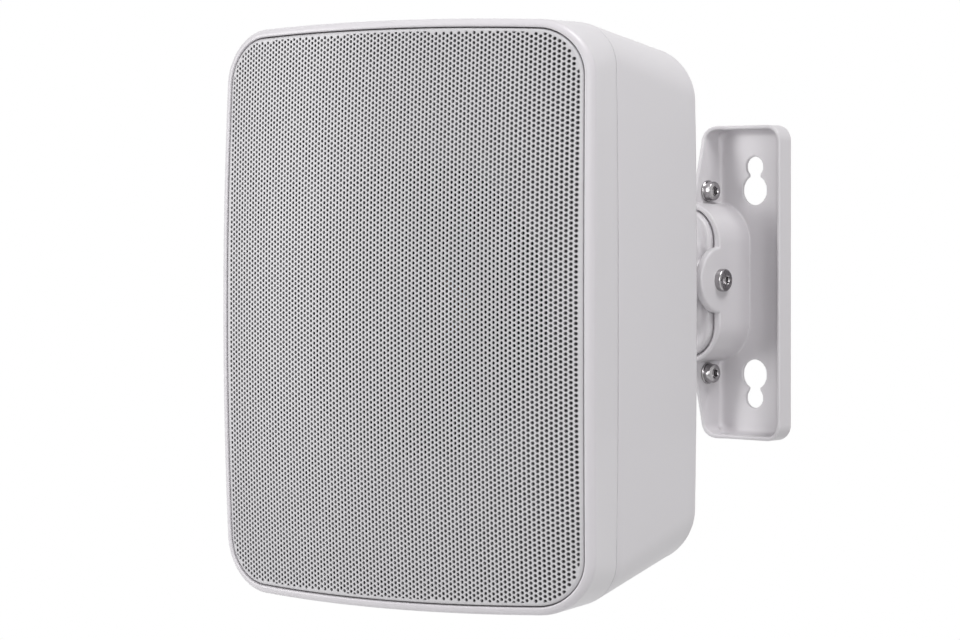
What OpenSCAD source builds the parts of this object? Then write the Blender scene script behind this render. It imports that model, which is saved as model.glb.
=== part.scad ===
// Wall loudspeaker with a bowed grille, a tapered two-part cabinet and a bracket
// that tilts at the wall and pans at the cabinet. Wall face on y = 0, room towards -y.

/* [Cabinet] */
// Height of the cabinet at its front lip
cab_h = 280; // [240:1:340]
// Width of the cabinet at its front lip
cab_w = 208; // [180:1:250]
// Depth of the cabinet from its foremost point to its back face
cab_d = 211; // [190:1:260]
// Depth of the seam between the two shells, behind the foremost point
seam_y = 65; // [58:0.5:72]
// Thickness of the moulded shell walls
wall = 3.6; // [2.6:0.1:4.4]
// Radius of the front face's bow across its width
bow_across = 362; // [300:1:900]
// Radius of the front face's bow over its height
bow_over = 2136; // [1200:1:6000]
// Draft of the front shell's left and right sides, degrees
front_draft = 11; // [6:0.1:13]
// Draft of the rear shell's left and right sides, degrees
rear_draft = 10.1; // [5:0.1:11]
// Flare of the front shell's top and bottom, degrees
front_flare = 1.7; // [0:0.1:2.5]
// Draft of the rear shell's top and bottom, degrees
rear_fall = 2.4; // [0:0.1:5]
// Corner radius of the cabinet outline at the front lip
corner_front = 25.7; // [20:0.1:34]
// Corner radius of the cabinet outline at the seam
corner_seam = 21; // [18:0.1:34]
// Corner radius of the cabinet outline at the back
corner_back = 27; // [24:0.1:36]
// Radius of the edge around the back face
back_round = 15; // [8:0.5:20]
// Outward bulge of the left and right sides at mid height
side_bulge = 1.5; // [0:0.1:3]
// Outward bulge of the top and bottom at mid width
top_bulge = 2.6; // [0:0.1:4]
// Radius of the front lip's outer edge
lip_r = 3; // [2:0.1:4]
// Flat land of the front lip beside the grille
lip_land = 1.3; // [0.8:0.1:3]
// Gap between the two shells that the seal fills
seam_gap = 0.5; // [0.4:0.1:1]
// Width of the seal, measured in from 1.2 mm inside the outline
seal_inset = 1.2; // [0.8:0.1:1.6]

/* [Grille] */
// Thickness of the perforated sheet
grille_t = 1; // [0.8:0.1:1.5]
// Depth of the folded rim behind the sheet
grille_rim = 9; // [6:0.5:10]
// Clearance between the folded rim and the lip
grille_gap = 0.6; // [0.3:0.05:1]
// Width of the ledge that the rim rests on
grille_ledge = 2; // [1.8:0.1:3]
// Thickness of the cloth behind the sheet
cloth_t = 0.8; // [0.5:0.1:1]

/* [Driver] */
// Outer radius of the woofer's frame
frame_r = 72; // [68:0.5:78]
// Radius of the hole in the baffle
baffle_hole_r = 65; // [63.5:0.5:66]
// Depth of the baffle's front face behind the foremost point
baffle_y = 31; // [30:0.5:36]
// Thickness of the baffle
baffle_t = 6; // [4:0.5:8]
// Height of the driver's axis above the cabinet's middle
driver_rise = 2; // [-20:1:20]
// Outer radius of the paper cone
cone_r = 51; // [49:0.5:52]
// Radius of the voice coil former's inside
coil_r = 13; // [12.6:0.1:13.2]
// Radius of the screws that hold the woofer and the boards
small_screw_r = 1.8; // [1.5:0.1:2.2]

/* [Rear foot and pan joint] */
// Width of the rear foot's plate
foot_w = 56; // [50:1:66]
// Height of the rear foot's plate
foot_h = 84; // [76:1:96]
// Thickness of the rear foot's plate
foot_t = 4; // [3:0.5:6]
// Height of the foot's middle above the cabinet's middle
foot_rise = 9; // [0:1:20]
// Distance of the pan axis behind the cabinet's back face
pan_gap = 20; // [19:0.5:26]
// Radius of the arm's boss round the pan bolt
pan_boss_r = 13; // [12:0.5:14]
// Height of the arm's boss round the pan bolt
pan_boss_h = 36; // [28:1:44]
// Radius of the pan bolt
pan_bolt_r = 5; // [4:0.5:6]
// Thickness of the two ears of the rear foot
ear_t = 5; // [4:0.5:7]
// Pan of the cabinet on the bracket as photographed, degrees
pan_rest = 11; // [0:0.5:30]

/* [Wall bracket and tilt joint] */
// Height of the bracket on the wall
plate_h = 176.8; // [160:0.1:220]
// Width of one bracket half
plate_w = 49.9; // [46:0.1:60]
// Depth of the bracket's rim, off the wall
rim_d = 11.6; // [9:0.1:14]
// Thickness of the bracket's floor
floor_t = 2.2; // [1.6:0.1:3]
// Thickness of the rim and of the centre flange
rim_t = 2.2; // [1.6:0.1:3]
// Corner radius of the bracket
plate_r = 9; // [6:0.5:12]
// Half width of the obround hub
hub_w = 22.9; // [21:0.1:26]
// Half height of the obround hub
hub_h = 45; // [40:0.5:50]
// Wall of the hub
hub_t = 4.6; // [3:0.1:5.5]
// Thickness of the hub's wall at its upper and lower ends
hub_end_t = 2.8; // [2.4:0.1:5]
// Depth of the hub, off the wall
hub_d = 30.8; // [27:0.1:34]
// Distance of the tilt axis off the wall
tilt_y = 29.4; // [27:0.1:32]
// Height of the tilt axis above the bracket's middle
tilt_z = 1.7; // [0:0.1:3]
// Radius of the two ears round the tilt bolt
tilt_ear_r = 18.5; // [16:0.5:20]
// Radius of the tilt bolt
tilt_bolt_r = 4; // [3:0.5:5]
// Distance of the pan axis off the wall
pan_y = 102; // [95:1:125]
// Radius of the screws that join the two bracket halves
join_r = 3; // [2:0.5:3.5]
// Height of the joining screws above and below the hub's middle
join_z = 51.6; // [51.2:0.1:54]
// Distance of the joining screws off the wall
join_y = 14.4; // [10:0.1:15]
// Distance of the keyholes from the bracket's middle
key_x = 26.1; // [24:0.1:30]
// Height of the keyholes' narrow ends above and below the middle
key_z = 65.2; // [58:0.1:72]
// Radius of a keyhole's narrow end
key_r = 5.8; // [4:0.1:6.5]
// Radius of a keyhole's wide end
key_big_r = 8.4; // [7:0.1:10]
// Distance between a keyhole's two ends
key_run = 13.2; // [11:0.1:16]
// How far the left half is cut back beside the right half's flange
left_cut = 20.5; // [18:0.5:21]
// How much lower the left half's flange stands
left_drop = 3; // [2:0.5:5]

/* [Connector bay] */
// Width of the opening in the back
bay_w = 60; // [52:1:70]
// Height of the opening in the back
bay_h = 34; // [30:1:40]
// Height of the opening's middle, below the cabinet's middle
bay_drop = 84; // [82:1:90]
// Overlap of the cover round the opening
cover_lap = 7; // [6:0.5:9]
// Thickness of the cover
cover_t = 3; // [2:0.5:4]
// Radius of the cable hole in the cover
cable_hole_r = 6; // [5:0.5:8]

/* [Electronics] */
// Width of the circuit board
board_w = 92; // [84:1:100]
// Height of the circuit board
board_h = 150; // [140:1:160]
// Thickness of the circuit board
board_t = 1.6; // [1:0.1:2.4]
// Space between the circuit board and the back wall
board_space = 16; // [15:0.5:20]

/* [Hidden] */
eps = 0.01;
slip = 0.05;
fit_gap = 0.3;
lip = lip_r + lip_land;
arc_steps = 8;
side_steps = 5;
back_start = cab_d - back_round;
inner_back = cab_d - wall;
bolt_fn = 48;
shell_colour = [0.86, 0.85, 0.87];
cast_colour = [0.84, 0.83, 0.85];
steel_colour = [0.66, 0.66, 0.68];
hub_inner_w = hub_w - hub_t;
hub_inner_h = hub_h - hub_end_t;
left_keep = 9;
left_step = 3.5;
knuckle_gap = 0.8;
washer_t = 1.2;
boss_half = hub_inner_w - washer_t - 0.15;
tilt_washer_r = 10;
tilt_head_r = 6.3;
tilt_head_h = 3.4;
join_head_r = 5.3;
join_head_h = 4.3;
join_washer_r = 6.1;
arm_boss_r = 11;
arm_neck_w = 22;
ear_inner = pan_boss_h / 2 + washer_t + 0.15;
board_back = inner_back - board_space;
board_front = board_back - board_t;
board_z = -30;
boss_r = 5;
magnet_top = 50;
magnet_t = 16;
plate_steel_t = 6;

// Half width of the cabinet outline at depth y
function half_w(y) = cab_w / 2
    - tan(front_draft) * (min(max(y, lip_r), seam_y) - lip_r)
    - tan(rear_draft) * max(0, y - seam_y);

// Half height of the cabinet outline at depth y
function half_h(y) = cab_h / 2
    + tan(front_flare) * (min(max(y, lip_r), seam_y) - lip_r)
    - tan(rear_fall) * max(0, y - seam_y);

// Corner radius of the cabinet outline at depth y
function corner_at(y) = y < seam_y
    ? corner_front + (corner_seam - corner_front) * max(0, y - lip_r) / (seam_y - lip_r)
    : corner_seam + (corner_back - corner_seam) * min(1, (y - seam_y) / (back_start - seam_y));

// Share of the front bow left at depth y, all at the lip and none at the seam
function bow_share(y) = 1 - min(1, max(0, y - lip_r) / (seam_y - seam_gap / 2 - lip_r));

// How far the bowed front lies behind its foremost point
function bow(x, z) = x * x / (2 * bow_across) + z * z / (2 * bow_over);

// Point i of the arc round corner c, in a rectangle of half sizes a and b
function corner_point(a, b, r, c, i) =
    let (t = 90 * c + 90 * i / arc_steps)
    [(c == 0 || c == 3 ? 1 : -1) * (a - r) + r * cos(t), (c < 2 ? 1 : -1) * (b - r) + r * sin(t)];

// Rounded rectangle with extra points along its sides
function round_rect(a, b, r) = [
    for (c = [0:3])
        each concat(
            [for (i = [0:arc_steps]) corner_point(a, b, r, c, i)],
            [for (j = [1:side_steps])
                let (s = j / (side_steps + 1))
                (1 - s) * corner_point(a, b, r, c, arc_steps) + s * corner_point(a, b, r, (c + 1) % 4, 0)]
        )
];

// Rounded rectangle whose four sides bulge
function outline(a, b, r) = [
    for (p = round_rect(a, b, r))
        [p.x - side_bulge * p.x / a * pow(p.y / b, 2), p.y - top_bulge * p.y / b * pow(p.x / a, 2)]
];

// Ring of the cabinet at depth y, inset from its skin, with a share of the bow
function ring(y, inset, share, scale_by = 1, at = undef) =
    let (d = is_undef(at) ? y : at)
    [for (p = outline(half_w(d) - inset, half_h(d) - inset, max(corner_at(d) - inset, 2)))
        let (q = p * scale_by)
        [q.x, y + share * bow(q.x, q.y), q.y]];

// Closed skin over a list of rings that run front to back
module loft(rings) {
    n = len(rings[0]);
    last = (len(rings) - 1) * n;
    sides = [
        for (k = [0:len(rings) - 2], i = [0:n - 1])
            let (a = k * n + i, b = k * n + (i + 1) % n)
            each [[a, b, b + n], [a, b + n, a + n]]
    ];
    front = [for (i = [1:n - 2]) [0, i + 1, i]];
    back = [for (i = [1:n - 2]) [last, last + i, last + i + 1]];
    polyhedron(points = [for (r = rings) each r], faces = concat(sides, front, back), convexity = 6);
}

// From cabinet coordinates, foremost point at y = 0, to the place on the wall
module on_pan_joint() {
    translate([0, -pan_y, 0])
        rotate([0, 0, pan_rest])
            translate([0, -cab_d - pan_gap, -foot_rise])
                children();
}

// Local +z runs backwards along the driver's axis, from the baffle's front face
module on_driver_axis() {
    on_pan_joint()
        translate([0, baffle_y, driver_rise])
            rotate([-90, 0, 0])
                children();
}

// Cylinder along +y from depth y0 to y1
module y_rod(r, y0, y1, fn = bolt_fn) {
    translate([0, y0, 0])
        rotate([-90, 0, 0])
            cylinder(r = r, h = y1 - y0, $fn = fn);
}

// Cylinder along +x from x0 to x1
module x_rod(r, x0, x1, fn = bolt_fn) {
    translate([x0, 0, 0])
        rotate([0, 90, 0])
            cylinder(r = r, h = x1 - x0, $fn = fn);
}

// Upright obround of half sizes a and b, extruded along y
module y_obround(a, b, y0, y1) {
    translate([0, y1, 0])
        rotate([90, 0, 0])
            linear_extrude(y1 - y0)
                obround(a, b);
}

module obround(a, b) {
    r = min(a, b);
    translate([0, b - r])
        circle(r = r, $fn = 96);
    translate([0, r - b])
        circle(r = r, $fn = 96);
    square([2 * r, 2 * (b - r)], center = true);
}

// Rectangle with rounded corners
module soft_rect(w, h, r) {
    square([w - 2 * r, h], center = true);
    square([w, h - 2 * r], center = true);
    for (x = [-1, 1], z = [-1, 1])
        translate([x * (w / 2 - r), z * (h / 2 - r)])
            circle(r = r, $fn = 48);
}

// Socket screw along +y: head from y = -head_h to 0, shank to y = length
module y_screw(r, head_r, head_h, length, key_r) {
    difference() {
        union() {
            y_rod(head_r, -head_h, 0);
            y_rod(r, -eps, length);
        }
        y_rod(key_r, -head_h - 1, -head_h * 0.45, 6);
    }
}

// Places of the screws that close the two shells
housing_inset = 20;
function housing_spots() = [
    for (x = [-1, 0, 1], z = [-1, 1])
        [x * (half_w(back_start) - housing_inset), z * (half_h(back_start) - housing_inset)]
];
screw_seat = seam_y + 20;

// Places of the foot's screws about the foot's middle
foot_x = foot_w / 2 - 8;
foot_z = foot_h / 2 - 8;
foot_screw_r = 2.5;
foot_head_r = 4.3;

// Places of the board's posts
function board_spots() = [for (x = [-1, 1], z = [-1, 1]) [x * (board_w / 2 - 5), board_z + z * (board_h / 2 - 5)]];

// Places of the cover's screws
cover_w = bay_w + 2 * cover_lap;
cover_h = bay_h + 2 * cover_lap;
function cover_spots() = [for (x = [-1, 1]) [x * (bay_w / 2 + cover_lap / 2), -bay_drop]];

// Places of the woofer's screws round the driver's axis
woofer_screw_count = 6;
woofer_screw_at = (frame_r + baffle_hole_r) / 2;

module front_shell() {
    ledge = lip + grille_ledge;
    color(shell_colour)
        on_pan_joint()
            difference() {
                union() {
                    difference() {
                        loft([
                            ring(0, lip, 1, at = lip_r),
                            ring(0, lip_r, 1, at = lip_r),
                            for (k = [15:25:90])
                                ring(lip_r * (1 - cos(k)), lip_r * (1 - sin(k)), 1, at = lip_r),
                            for (s = [0.12, 0.4, 0.7, 1])
                                let (y = lip_r + s * (seam_y - seam_gap / 2 - lip_r))
                                ring(y, 0, bow_share(y)),
                        ]);
                        loft([
                            ring(-4, lip, 1, at = lip_r),
                            ring(grille_rim, lip, 1, at = lip_r),
                            ring(grille_rim, ledge, 1, at = lip_r),
                            ring(baffle_y, ledge, 0),
                        ]);
                        loft([ring(baffle_y + baffle_t, wall, 0), ring(seam_y + 1, wall, 0)]);
                    }
                    for (p = housing_spots())
                        translate([p.x, 0, p.y])
                            y_rod(boss_r, baffle_y + baffle_t - 1, seam_y - seam_gap / 2);
                }
                translate([0, 0, driver_rise])
                    y_rod(baffle_hole_r, baffle_y - 1, baffle_y + baffle_t + 1, 180);
                for (i = [0:woofer_screw_count - 1])
                    translate([0, 0, driver_rise])
                        rotate([0, i * 360 / woofer_screw_count + 30, 0])
                            translate([woofer_screw_at, 0, 0])
                                y_rod(small_screw_r, baffle_y - 1, baffle_y + baffle_t + 1);
                for (p = housing_spots())
                    translate([p.x, 0, p.y])
                        y_rod(small_screw_r, baffle_y + baffle_t, seam_y + 1);
            }
}

module rear_shell() {
    start = seam_y + seam_gap / 2;
    inner_round = back_round - wall;
    color(shell_colour)
        on_pan_joint()
            difference() {
                union() {
                    difference() {
                        loft([
                            ring(start, 0, 0),
                            ring((start + back_start) / 2, 0, 0),
                            for (k = [0:15:90])
                                ring(back_start + back_round * sin(k), back_round * (1 - cos(k)), 0, at = back_start),
                        ]);
                        loft([
                            ring(start - 1, wall, 0),
                            ring((start + back_start) / 2, wall, 0),
                            for (k = [0:30:90])
                                ring(back_start + inner_round * sin(k), wall + inner_round * (1 - cos(k)), 0,
                                    at = back_start),
                        ]);
                    }
                    for (p = housing_spots())
                        translate([p.x, 0, p.y])
                            y_rod(boss_r, start, inner_back + 1);
                    for (p = board_spots())
                        translate([p.x, 0, p.y])
                            y_rod(4, board_back, inner_back + 1);
                }
                for (p = housing_spots())
                    translate([p.x, 0, p.y]) {
                        y_rod(small_screw_r, start - 1, screw_seat + 1);
                        y_rod(boss_r - 1.4, screw_seat, cab_d + 1);
                    }
                for (p = board_spots())
                    translate([p.x, 0, p.y])
                        y_rod(small_screw_r, board_back - 1, inner_back - 2);
                for (x = [-1, 1], z = [-1, 1])
                    translate([x * foot_x, 0, foot_rise + z * foot_z])
                        y_rod(foot_screw_r + slip, inner_back - 1, cab_d + 1);
                translate([-bay_w / 2, inner_back - 2, -bay_drop - bay_h / 2])
                    cube([bay_w, wall + 4, bay_h]);
                for (p = cover_spots())
                    translate([p.x, 0, p.y])
                        y_rod(small_screw_r, inner_back - 1, cab_d + 1);
            }
}

module shell_seal() {
    color([0.2, 0.2, 0.21])
        on_pan_joint()
            difference() {
                loft([ring(seam_y - seam_gap / 2, seal_inset, 0), ring(seam_y + seam_gap / 2, seal_inset, 0)]);
                loft([ring(seam_y - 2, wall, 0), ring(seam_y + 2, wall, 0)]);
                for (p = housing_spots())
                    translate([p.x, 0, p.y])
                        y_rod(boss_r, seam_y - 2, seam_y + 2);
            }
}

module housing_screws() {
    color(steel_colour)
        on_pan_joint()
            for (p = housing_spots())
                translate([p.x, screw_seat, p.y])
                    rotate([0, 0, 180])
                        y_screw(small_screw_r - slip, boss_r - 1.8, 3, screw_seat - baffle_y - baffle_t - 2, 1.4);
}

module grille() {
    edge = lip + grille_gap;
    color([0.78, 0.78, 0.8])
        on_pan_joint()
            difference() {
                loft([
                    for (s = [0.1, 0.3, 0.5, 0.7, 0.85])
                        ring(0, edge + grille_t, 1, s, at = lip_r),
                    ring(0, edge + grille_t, 1, at = lip_r),
                    ring(0.3 * grille_t, edge + 0.3 * grille_t, 1, at = lip_r),
                    ring(grille_t, edge, 1, at = lip_r),
                    ring(grille_rim - slip, edge, 1, at = lip_r),
                    ring(grille_rim - slip, edge + grille_t, 1, at = lip_r),
                ]);
                loft([
                    for (s = [0.1, 0.3, 0.5, 0.7, 0.85])
                        ring(grille_t, edge + grille_t, 1, s, at = lip_r),
                    ring(grille_t, edge + grille_t, 1, at = lip_r),
                    ring(grille_rim + 1, edge + grille_t, 1, at = lip_r),
                ]);
            }
}

module grille_cloth() {
    edge = lip + grille_gap + grille_t + fit_gap;
    front = grille_t + slip;
    color([0.12, 0.12, 0.13])
        on_pan_joint()
            difference() {
                loft([
                    for (s = [0.1, 0.3, 0.5, 0.7, 0.85])
                        ring(front, edge, 1, s, at = lip_r),
                    ring(front, edge, 1, at = lip_r),
                    ring(front + cloth_t, edge, 1, at = lip_r),
                ]);
                loft([
                    for (s = [0.1, 0.3, 0.5, 0.7, 0.85])
                        ring(front + cloth_t, edge, 1, s, at = lip_r),
                    ring(front + cloth_t, edge - 1, 1, at = lip_r),
                    ring(front + cloth_t + 1, edge - 1, 1, at = lip_r),
                ]);
            }
}

module woofer_frame() {
    color([0.22, 0.22, 0.24])
        on_driver_axis()
            difference() {
                rotate_extrude($fn = 180)
                    polygon([
                        [cone_r + 9, -3], [frame_r, -3], [frame_r, 0], [baffle_hole_r - 1, 0], [baffle_hole_r - 1.5, 3],
                        [48.5, 36], [48.5, 39], [45, 47], [45, magnet_top], [18, magnet_top], [18, 47.5],
                        [41, 47.5], [44, 39.5], [41, 39.5], [41, 38], [45.5, 38], [45.5, 36], [cone_r + 9, 2],
                    ]);
                for (i = [0:5])
                    rotate([0, 0, i * 60])
                        translate([-15, 43, 7])
                            cube([30, 30, 27]);
                for (i = [0:woofer_screw_count - 1])
                    rotate([0, 0, i * 360 / woofer_screw_count + 30])
                        translate([woofer_screw_at, 0, -4])
                            cylinder(r = small_screw_r + slip, h = 6, $fn = 32);
            }
}

module woofer_gasket() {
    color([0.12, 0.12, 0.13])
        on_driver_axis()
            rotate_extrude($fn = 180)
                polygon([[cone_r + 9, -5.6], [cone_r + 13.5, -5.6], [cone_r + 13.5, -3.8], [cone_r + 9, -3.8]]);
}

module woofer_surround() {
    roll = 4.1;
    mid = cone_r + 0.5 + roll;
    color([0.08, 0.08, 0.09])
        on_driver_axis() {
            rotate_extrude($fn = 180)
                difference() {
                    translate([mid, -3])
                        circle(r = roll, $fn = 48);
                    translate([mid, -3])
                        circle(r = roll - 0.8, $fn = 48);
                    translate([mid - 6, -3])
                        square([12, 6]);
                }
            rotate_extrude($fn = 180)
                translate([mid + roll - 0.4, -3.8])
                    square([cone_r + 13.5 - mid - roll + 0.4, 0.8]);
        }
}

module woofer_cone() {
    color([0.16, 0.16, 0.17])
        on_driver_axis()
            rotate_extrude($fn = 180)
                polygon([
                    [cone_r, -3.4], [cone_r, -2.6], [34, 12.2], [coil_r + 1.4, 27], [coil_r + 0.45, 27],
                    [coil_r + 0.45, 26], [33.6, 11.2],
                ]);
}

module voice_coil() {
    color([0.72, 0.42, 0.22])
        on_driver_axis()
            rotate_extrude($fn = 120)
                polygon([
                    [coil_r, 23], [coil_r + 0.4, 23], [coil_r + 0.4, 48], [coil_r + 0.9, 48],
                    [coil_r + 0.9, 58], [coil_r, 58],
                ]);
}

module woofer_spider() {
    waves = 6;
    inner = coil_r + 0.9;
    pitch = (45.3 - inner) / (2 * waves);
    color([0.75, 0.62, 0.3])
        on_driver_axis()
            rotate_extrude($fn = 120)
                polygon(concat(
                    [for (i = [0:2 * waves]) [inner + i * pitch, i == 2 * waves ? 37 : i % 2 == 0 ? 37 : 34.6]],
                    [for (i = [2 * waves:-1:0]) [inner + i * pitch, i == 2 * waves ? 38 : i % 2 == 0 ? 37.8 : 35.4]]
                ));
}

module woofer_screws() {
    color(steel_colour)
        on_driver_axis()
            for (i = [0:woofer_screw_count - 1])
                rotate([0, 0, i * 360 / woofer_screw_count + 30])
                    translate([woofer_screw_at, 0, -3])
                        rotate([90, 0, 0])
                            y_screw(small_screw_r - slip, 2.8, 2, baffle_t + 3 - 0.5, 1.2);
}

module front_plate() {
    color([0.6, 0.6, 0.62])
        on_driver_axis()
            translate([0, 0, magnet_top])
                difference() {
                    cylinder(r = 38, h = plate_steel_t, $fn = 120);
                    translate([0, 0, -1])
                        cylinder(r = coil_r + 1.3, h = plate_steel_t + 2, $fn = 96);
                }
}

module magnet_ring() {
    color([0.16, 0.16, 0.17])
        on_driver_axis()
            translate([0, 0, magnet_top + plate_steel_t])
                difference() {
                    cylinder(r = 43, h = magnet_t, $fn = 120);
                    translate([0, 0, -1])
                        cylinder(r = 19, h = magnet_t + 2, $fn = 96);
                }
}

module yoke_plate() {
    back = magnet_top + plate_steel_t + magnet_t;
    color([0.6, 0.6, 0.62])
        on_driver_axis()
            difference() {
                union() {
                    translate([0, 0, back])
                        cylinder(r = 38, h = plate_steel_t, $fn = 120);
                    translate([0, 0, magnet_top])
                        cylinder(r = coil_r - 0.6, h = back - magnet_top + 1, $fn = 96);
                }
                translate([0, 0, magnet_top - 1])
                    cylinder(r = 4 + slip, h = back, $fn = 48);
            }
}

module tweeter_post() {
    end = magnet_top + magnet_t + 2 * plate_steel_t;
    color(steel_colour)
        on_driver_axis() {
            translate([0, 0, 12])
                cylinder(r = 4, h = end + 6 - 12, $fn = 48);
            translate([0, 0, end])
                difference() {
                    cylinder(r = 7, h = 5, $fn = 6);
                    translate([0, 0, -1])
                        cylinder(r = 4 - slip, h = 7, $fn = 48);
                }
        }
}

module tweeter_cup() {
    color([0.14, 0.14, 0.15])
        on_driver_axis()
            rotate_extrude($fn = 96)
                polygon([
                    [9.2, -6], [12, -6.4], [16, -4], [16, 8], [12, 12], [0, 12], [0, 10], [14, 10], [14, -2.5], [9.2, -4],
                ]);
}

module tweeter_magnet() {
    color([0.45, 0.45, 0.47])
        on_driver_axis()
            translate([0, 0, -2])
                cylinder(r = 11, h = 12, $fn = 64);
}

module tweeter_dome() {
    color([0.1, 0.1, 0.11])
        on_driver_axis()
            translate([0, 0, -2])
                rotate_extrude($fn = 64)
                    difference() {
                        translate([0, 6])
                            intersection() {
                                circle(r = 10.8, $fn = 96);
                                translate([0, -12])
                                    square([8.6, 6]);
                            }
                        translate([0, 6])
                            circle(r = 10.3, $fn = 96);
                    }
}

module rear_foot() {
    reach = pan_gap;
    color(cast_colour)
        on_pan_joint()
            translate([0, cab_d, foot_rise])
                difference() {
                    union() {
                        translate([0, foot_t, 0])
                            rotate([90, 0, 0])
                                linear_extrude(foot_t)
                                    soft_rect(foot_w, foot_h, 8);
                        for (side = [-1, 1])
                            translate([0, 0, side * (ear_inner + ear_t / 2) - ear_t / 2])
                                linear_extrude(ear_t) {
                                    translate([-pan_boss_r, 0])
                                        square([2 * pan_boss_r, reach]);
                                    translate([0, reach])
                                        circle(r = pan_boss_r, $fn = 96);
                                }
                    }
                    translate([0, reach, -foot_h])
                        cylinder(r = pan_bolt_r + 0.2, h = 2 * foot_h, $fn = 64);
                    for (x = [-1, 1], z = [-1, 1])
                        translate([x * foot_x, 0, z * foot_z])
                            y_rod(foot_screw_r + slip, -1, foot_t + 1);
                }
}

module foot_screws() {
    color(steel_colour)
        on_pan_joint()
            for (x = [-1, 1], z = [-1, 1])
                translate([x * foot_x, cab_d + foot_t, foot_rise + z * foot_z])
                    rotate([0, 0, 180])
                        y_screw(foot_screw_r, foot_head_r, 4.5, foot_t + wall + 5, 2.3);
}

module backing_plate() {
    plate_t = 2;
    color(steel_colour)
        on_pan_joint()
            translate([0, inner_back, foot_rise])
                difference() {
                    rotate([90, 0, 0])
                        linear_extrude(plate_t)
                            soft_rect(foot_w - 4, foot_h - 4, 4);
                    for (x = [-1, 1], z = [-1, 1])
                        translate([x * foot_x, 0, z * foot_z])
                            y_rod(foot_screw_r + slip, -plate_t - 1, 1);
                }
}

module pan_bolt() {
    head_seat = ear_inner + ear_t;
    color(steel_colour)
        translate([0, -pan_y, 0])
            difference() {
                union() {
                    translate([0, 0, -head_seat - 10])
                        cylinder(r = pan_bolt_r, h = 2 * head_seat + 10, $fn = 64);
                    translate([0, 0, head_seat])
                        cylinder(r = 8, h = 8, $fn = 64);
                }
                translate([0, 0, head_seat + 4])
                    cylinder(r = 4.6, h = 8, $fn = 6);
            }
}

module pan_nut() {
    seat = ear_inner + ear_t;
    color(steel_colour)
        translate([0, -pan_y, -seat - 8])
            difference() {
                cylinder(r = 9.2, h = 8, $fn = 6);
                translate([0, 0, -1])
                    cylinder(r = pan_bolt_r, h = 10, $fn = 64);
            }
}

module pan_washers() {
    color([0.9, 0.9, 0.88])
        translate([0, -pan_y, 0])
            for (side = [-1, 1])
                translate([0, 0, side * (ear_inner - washer_t / 2) - washer_t / 2])
                    difference() {
                        cylinder(r = pan_boss_r - 1.5, h = washer_t, $fn = 64);
                        translate([0, 0, -1])
                            cylinder(r = pan_bolt_r + 0.2, h = washer_t + 2, $fn = 64);
                    }
}

// Arm from the tilt bolt at the wall to the pan bolt at the cabinet
module tilt_arm() {
    color(cast_colour)
        difference() {
            union() {
                translate([0, -tilt_y, 0])
                    y_obround(hub_inner_w - knuckle_gap, hub_inner_h - knuckle_gap, -5, 4);
                translate([0, -tilt_y, tilt_z])
                    x_rod(arm_boss_r, -boss_half, boss_half, 96);
                translate([-arm_neck_w / 2, 0, 0])
                    rotate([90, 0, 90])
                        linear_extrude(arm_neck_w)
                            polygon([
                                [-tilt_y - 4, 26], [-tilt_y - 4, -26], [-tilt_y - 16, -18], [-pan_y + 20, -14],
                                [-pan_y, -14], [-pan_y, 14], [-pan_y + 20, 14], [-tilt_y - 16, 18],
                            ]);
                translate([0, -pan_y, -pan_boss_h / 2])
                    cylinder(r = pan_boss_r, h = pan_boss_h, $fn = 96);
            }
            translate([0, -pan_y, -pan_boss_h])
                cylinder(r = pan_bolt_r + slip, h = 2 * pan_boss_h, $fn = 64);
            translate([0, -tilt_y, tilt_z]) {
                x_rod(tilt_bolt_r + slip, -hub_w, hub_w, 64);
                x_rod(tilt_washer_r + fit_gap, boss_half, hub_w, 96);
                x_rod(tilt_washer_r + fit_gap, -hub_w, -boss_half, 96);
            }
        }
}

// Profile of the centre flange: distance off the wall against height
module flange_profile(drop) {
    top = plate_h / 2;
    end = [rim_d, top - 4];
    low = [rim_d + 5.9 - drop, top - 9.5];
    mid = [rim_d + 9.5 - drop, top - 23];
    near = [rim_d + 13.5 - drop, join_z];
    high = [hub_d, hub_h - 5];
    polygon([
        [0, end.y], end, low, mid, near, high,
        [high.x, -high.y], [near.x, -near.y], [mid.x, -mid.y], [low.x, -low.y], [end.x, -end.y], [0, -end.y],
    ]);
}

// One casting: floor with keyholes, rim, centre flange, half the hub and an ear
module bracket_half(flange_drop) {
    difference() {
        union() {
            difference() {
                rotate([90, 0, 0])
                    linear_extrude(rim_d)
                        half_outline(0);
                translate([0, -floor_t, 0])
                    rotate([90, 0, 0])
                        linear_extrude(rim_d)
                            half_outline(rim_t);
            }
            intersection() {
                translate([rim_t, 0, 0])
                    rotate([0, 0, -90])
                        rotate([90, 0, 0])
                            linear_extrude(rim_t)
                                flange_profile(flange_drop);
                rotate([90, 0, 0])
                    linear_extrude(hub_d)
                        half_outline(0);
            }
            right_side()
                y_obround(hub_w, hub_h, -hub_d, 0);
            translate([0, -tilt_y, tilt_z])
                x_rod(tilt_ear_r, hub_inner_w, hub_w, 96);
            translate([hub_inner_w, -tilt_y, tilt_z - tilt_ear_r])
                cube([hub_t, tilt_y, 2 * tilt_ear_r]);
        }
        y_obround(hub_inner_w, hub_inner_h, -hub_d - 30, 1);
        translate([0, -tilt_y, tilt_z])
            x_rod(tilt_bolt_r + slip, 1, hub_w + 1, 64);
        for (side = [-1, 1]) {
            translate([0, -join_y, side * join_z])
                x_rod(join_r + slip, -1, rim_t + 1, 48);
            translate([key_x, 0, side * key_z])
                keyhole(-side);
        }
    }
}

// Keeps what lies at x > 0
module right_side() {
    intersection() {
        children();
        translate([0, -200, -200])
            cube([200, 400, 400]);
    }
}

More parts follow.
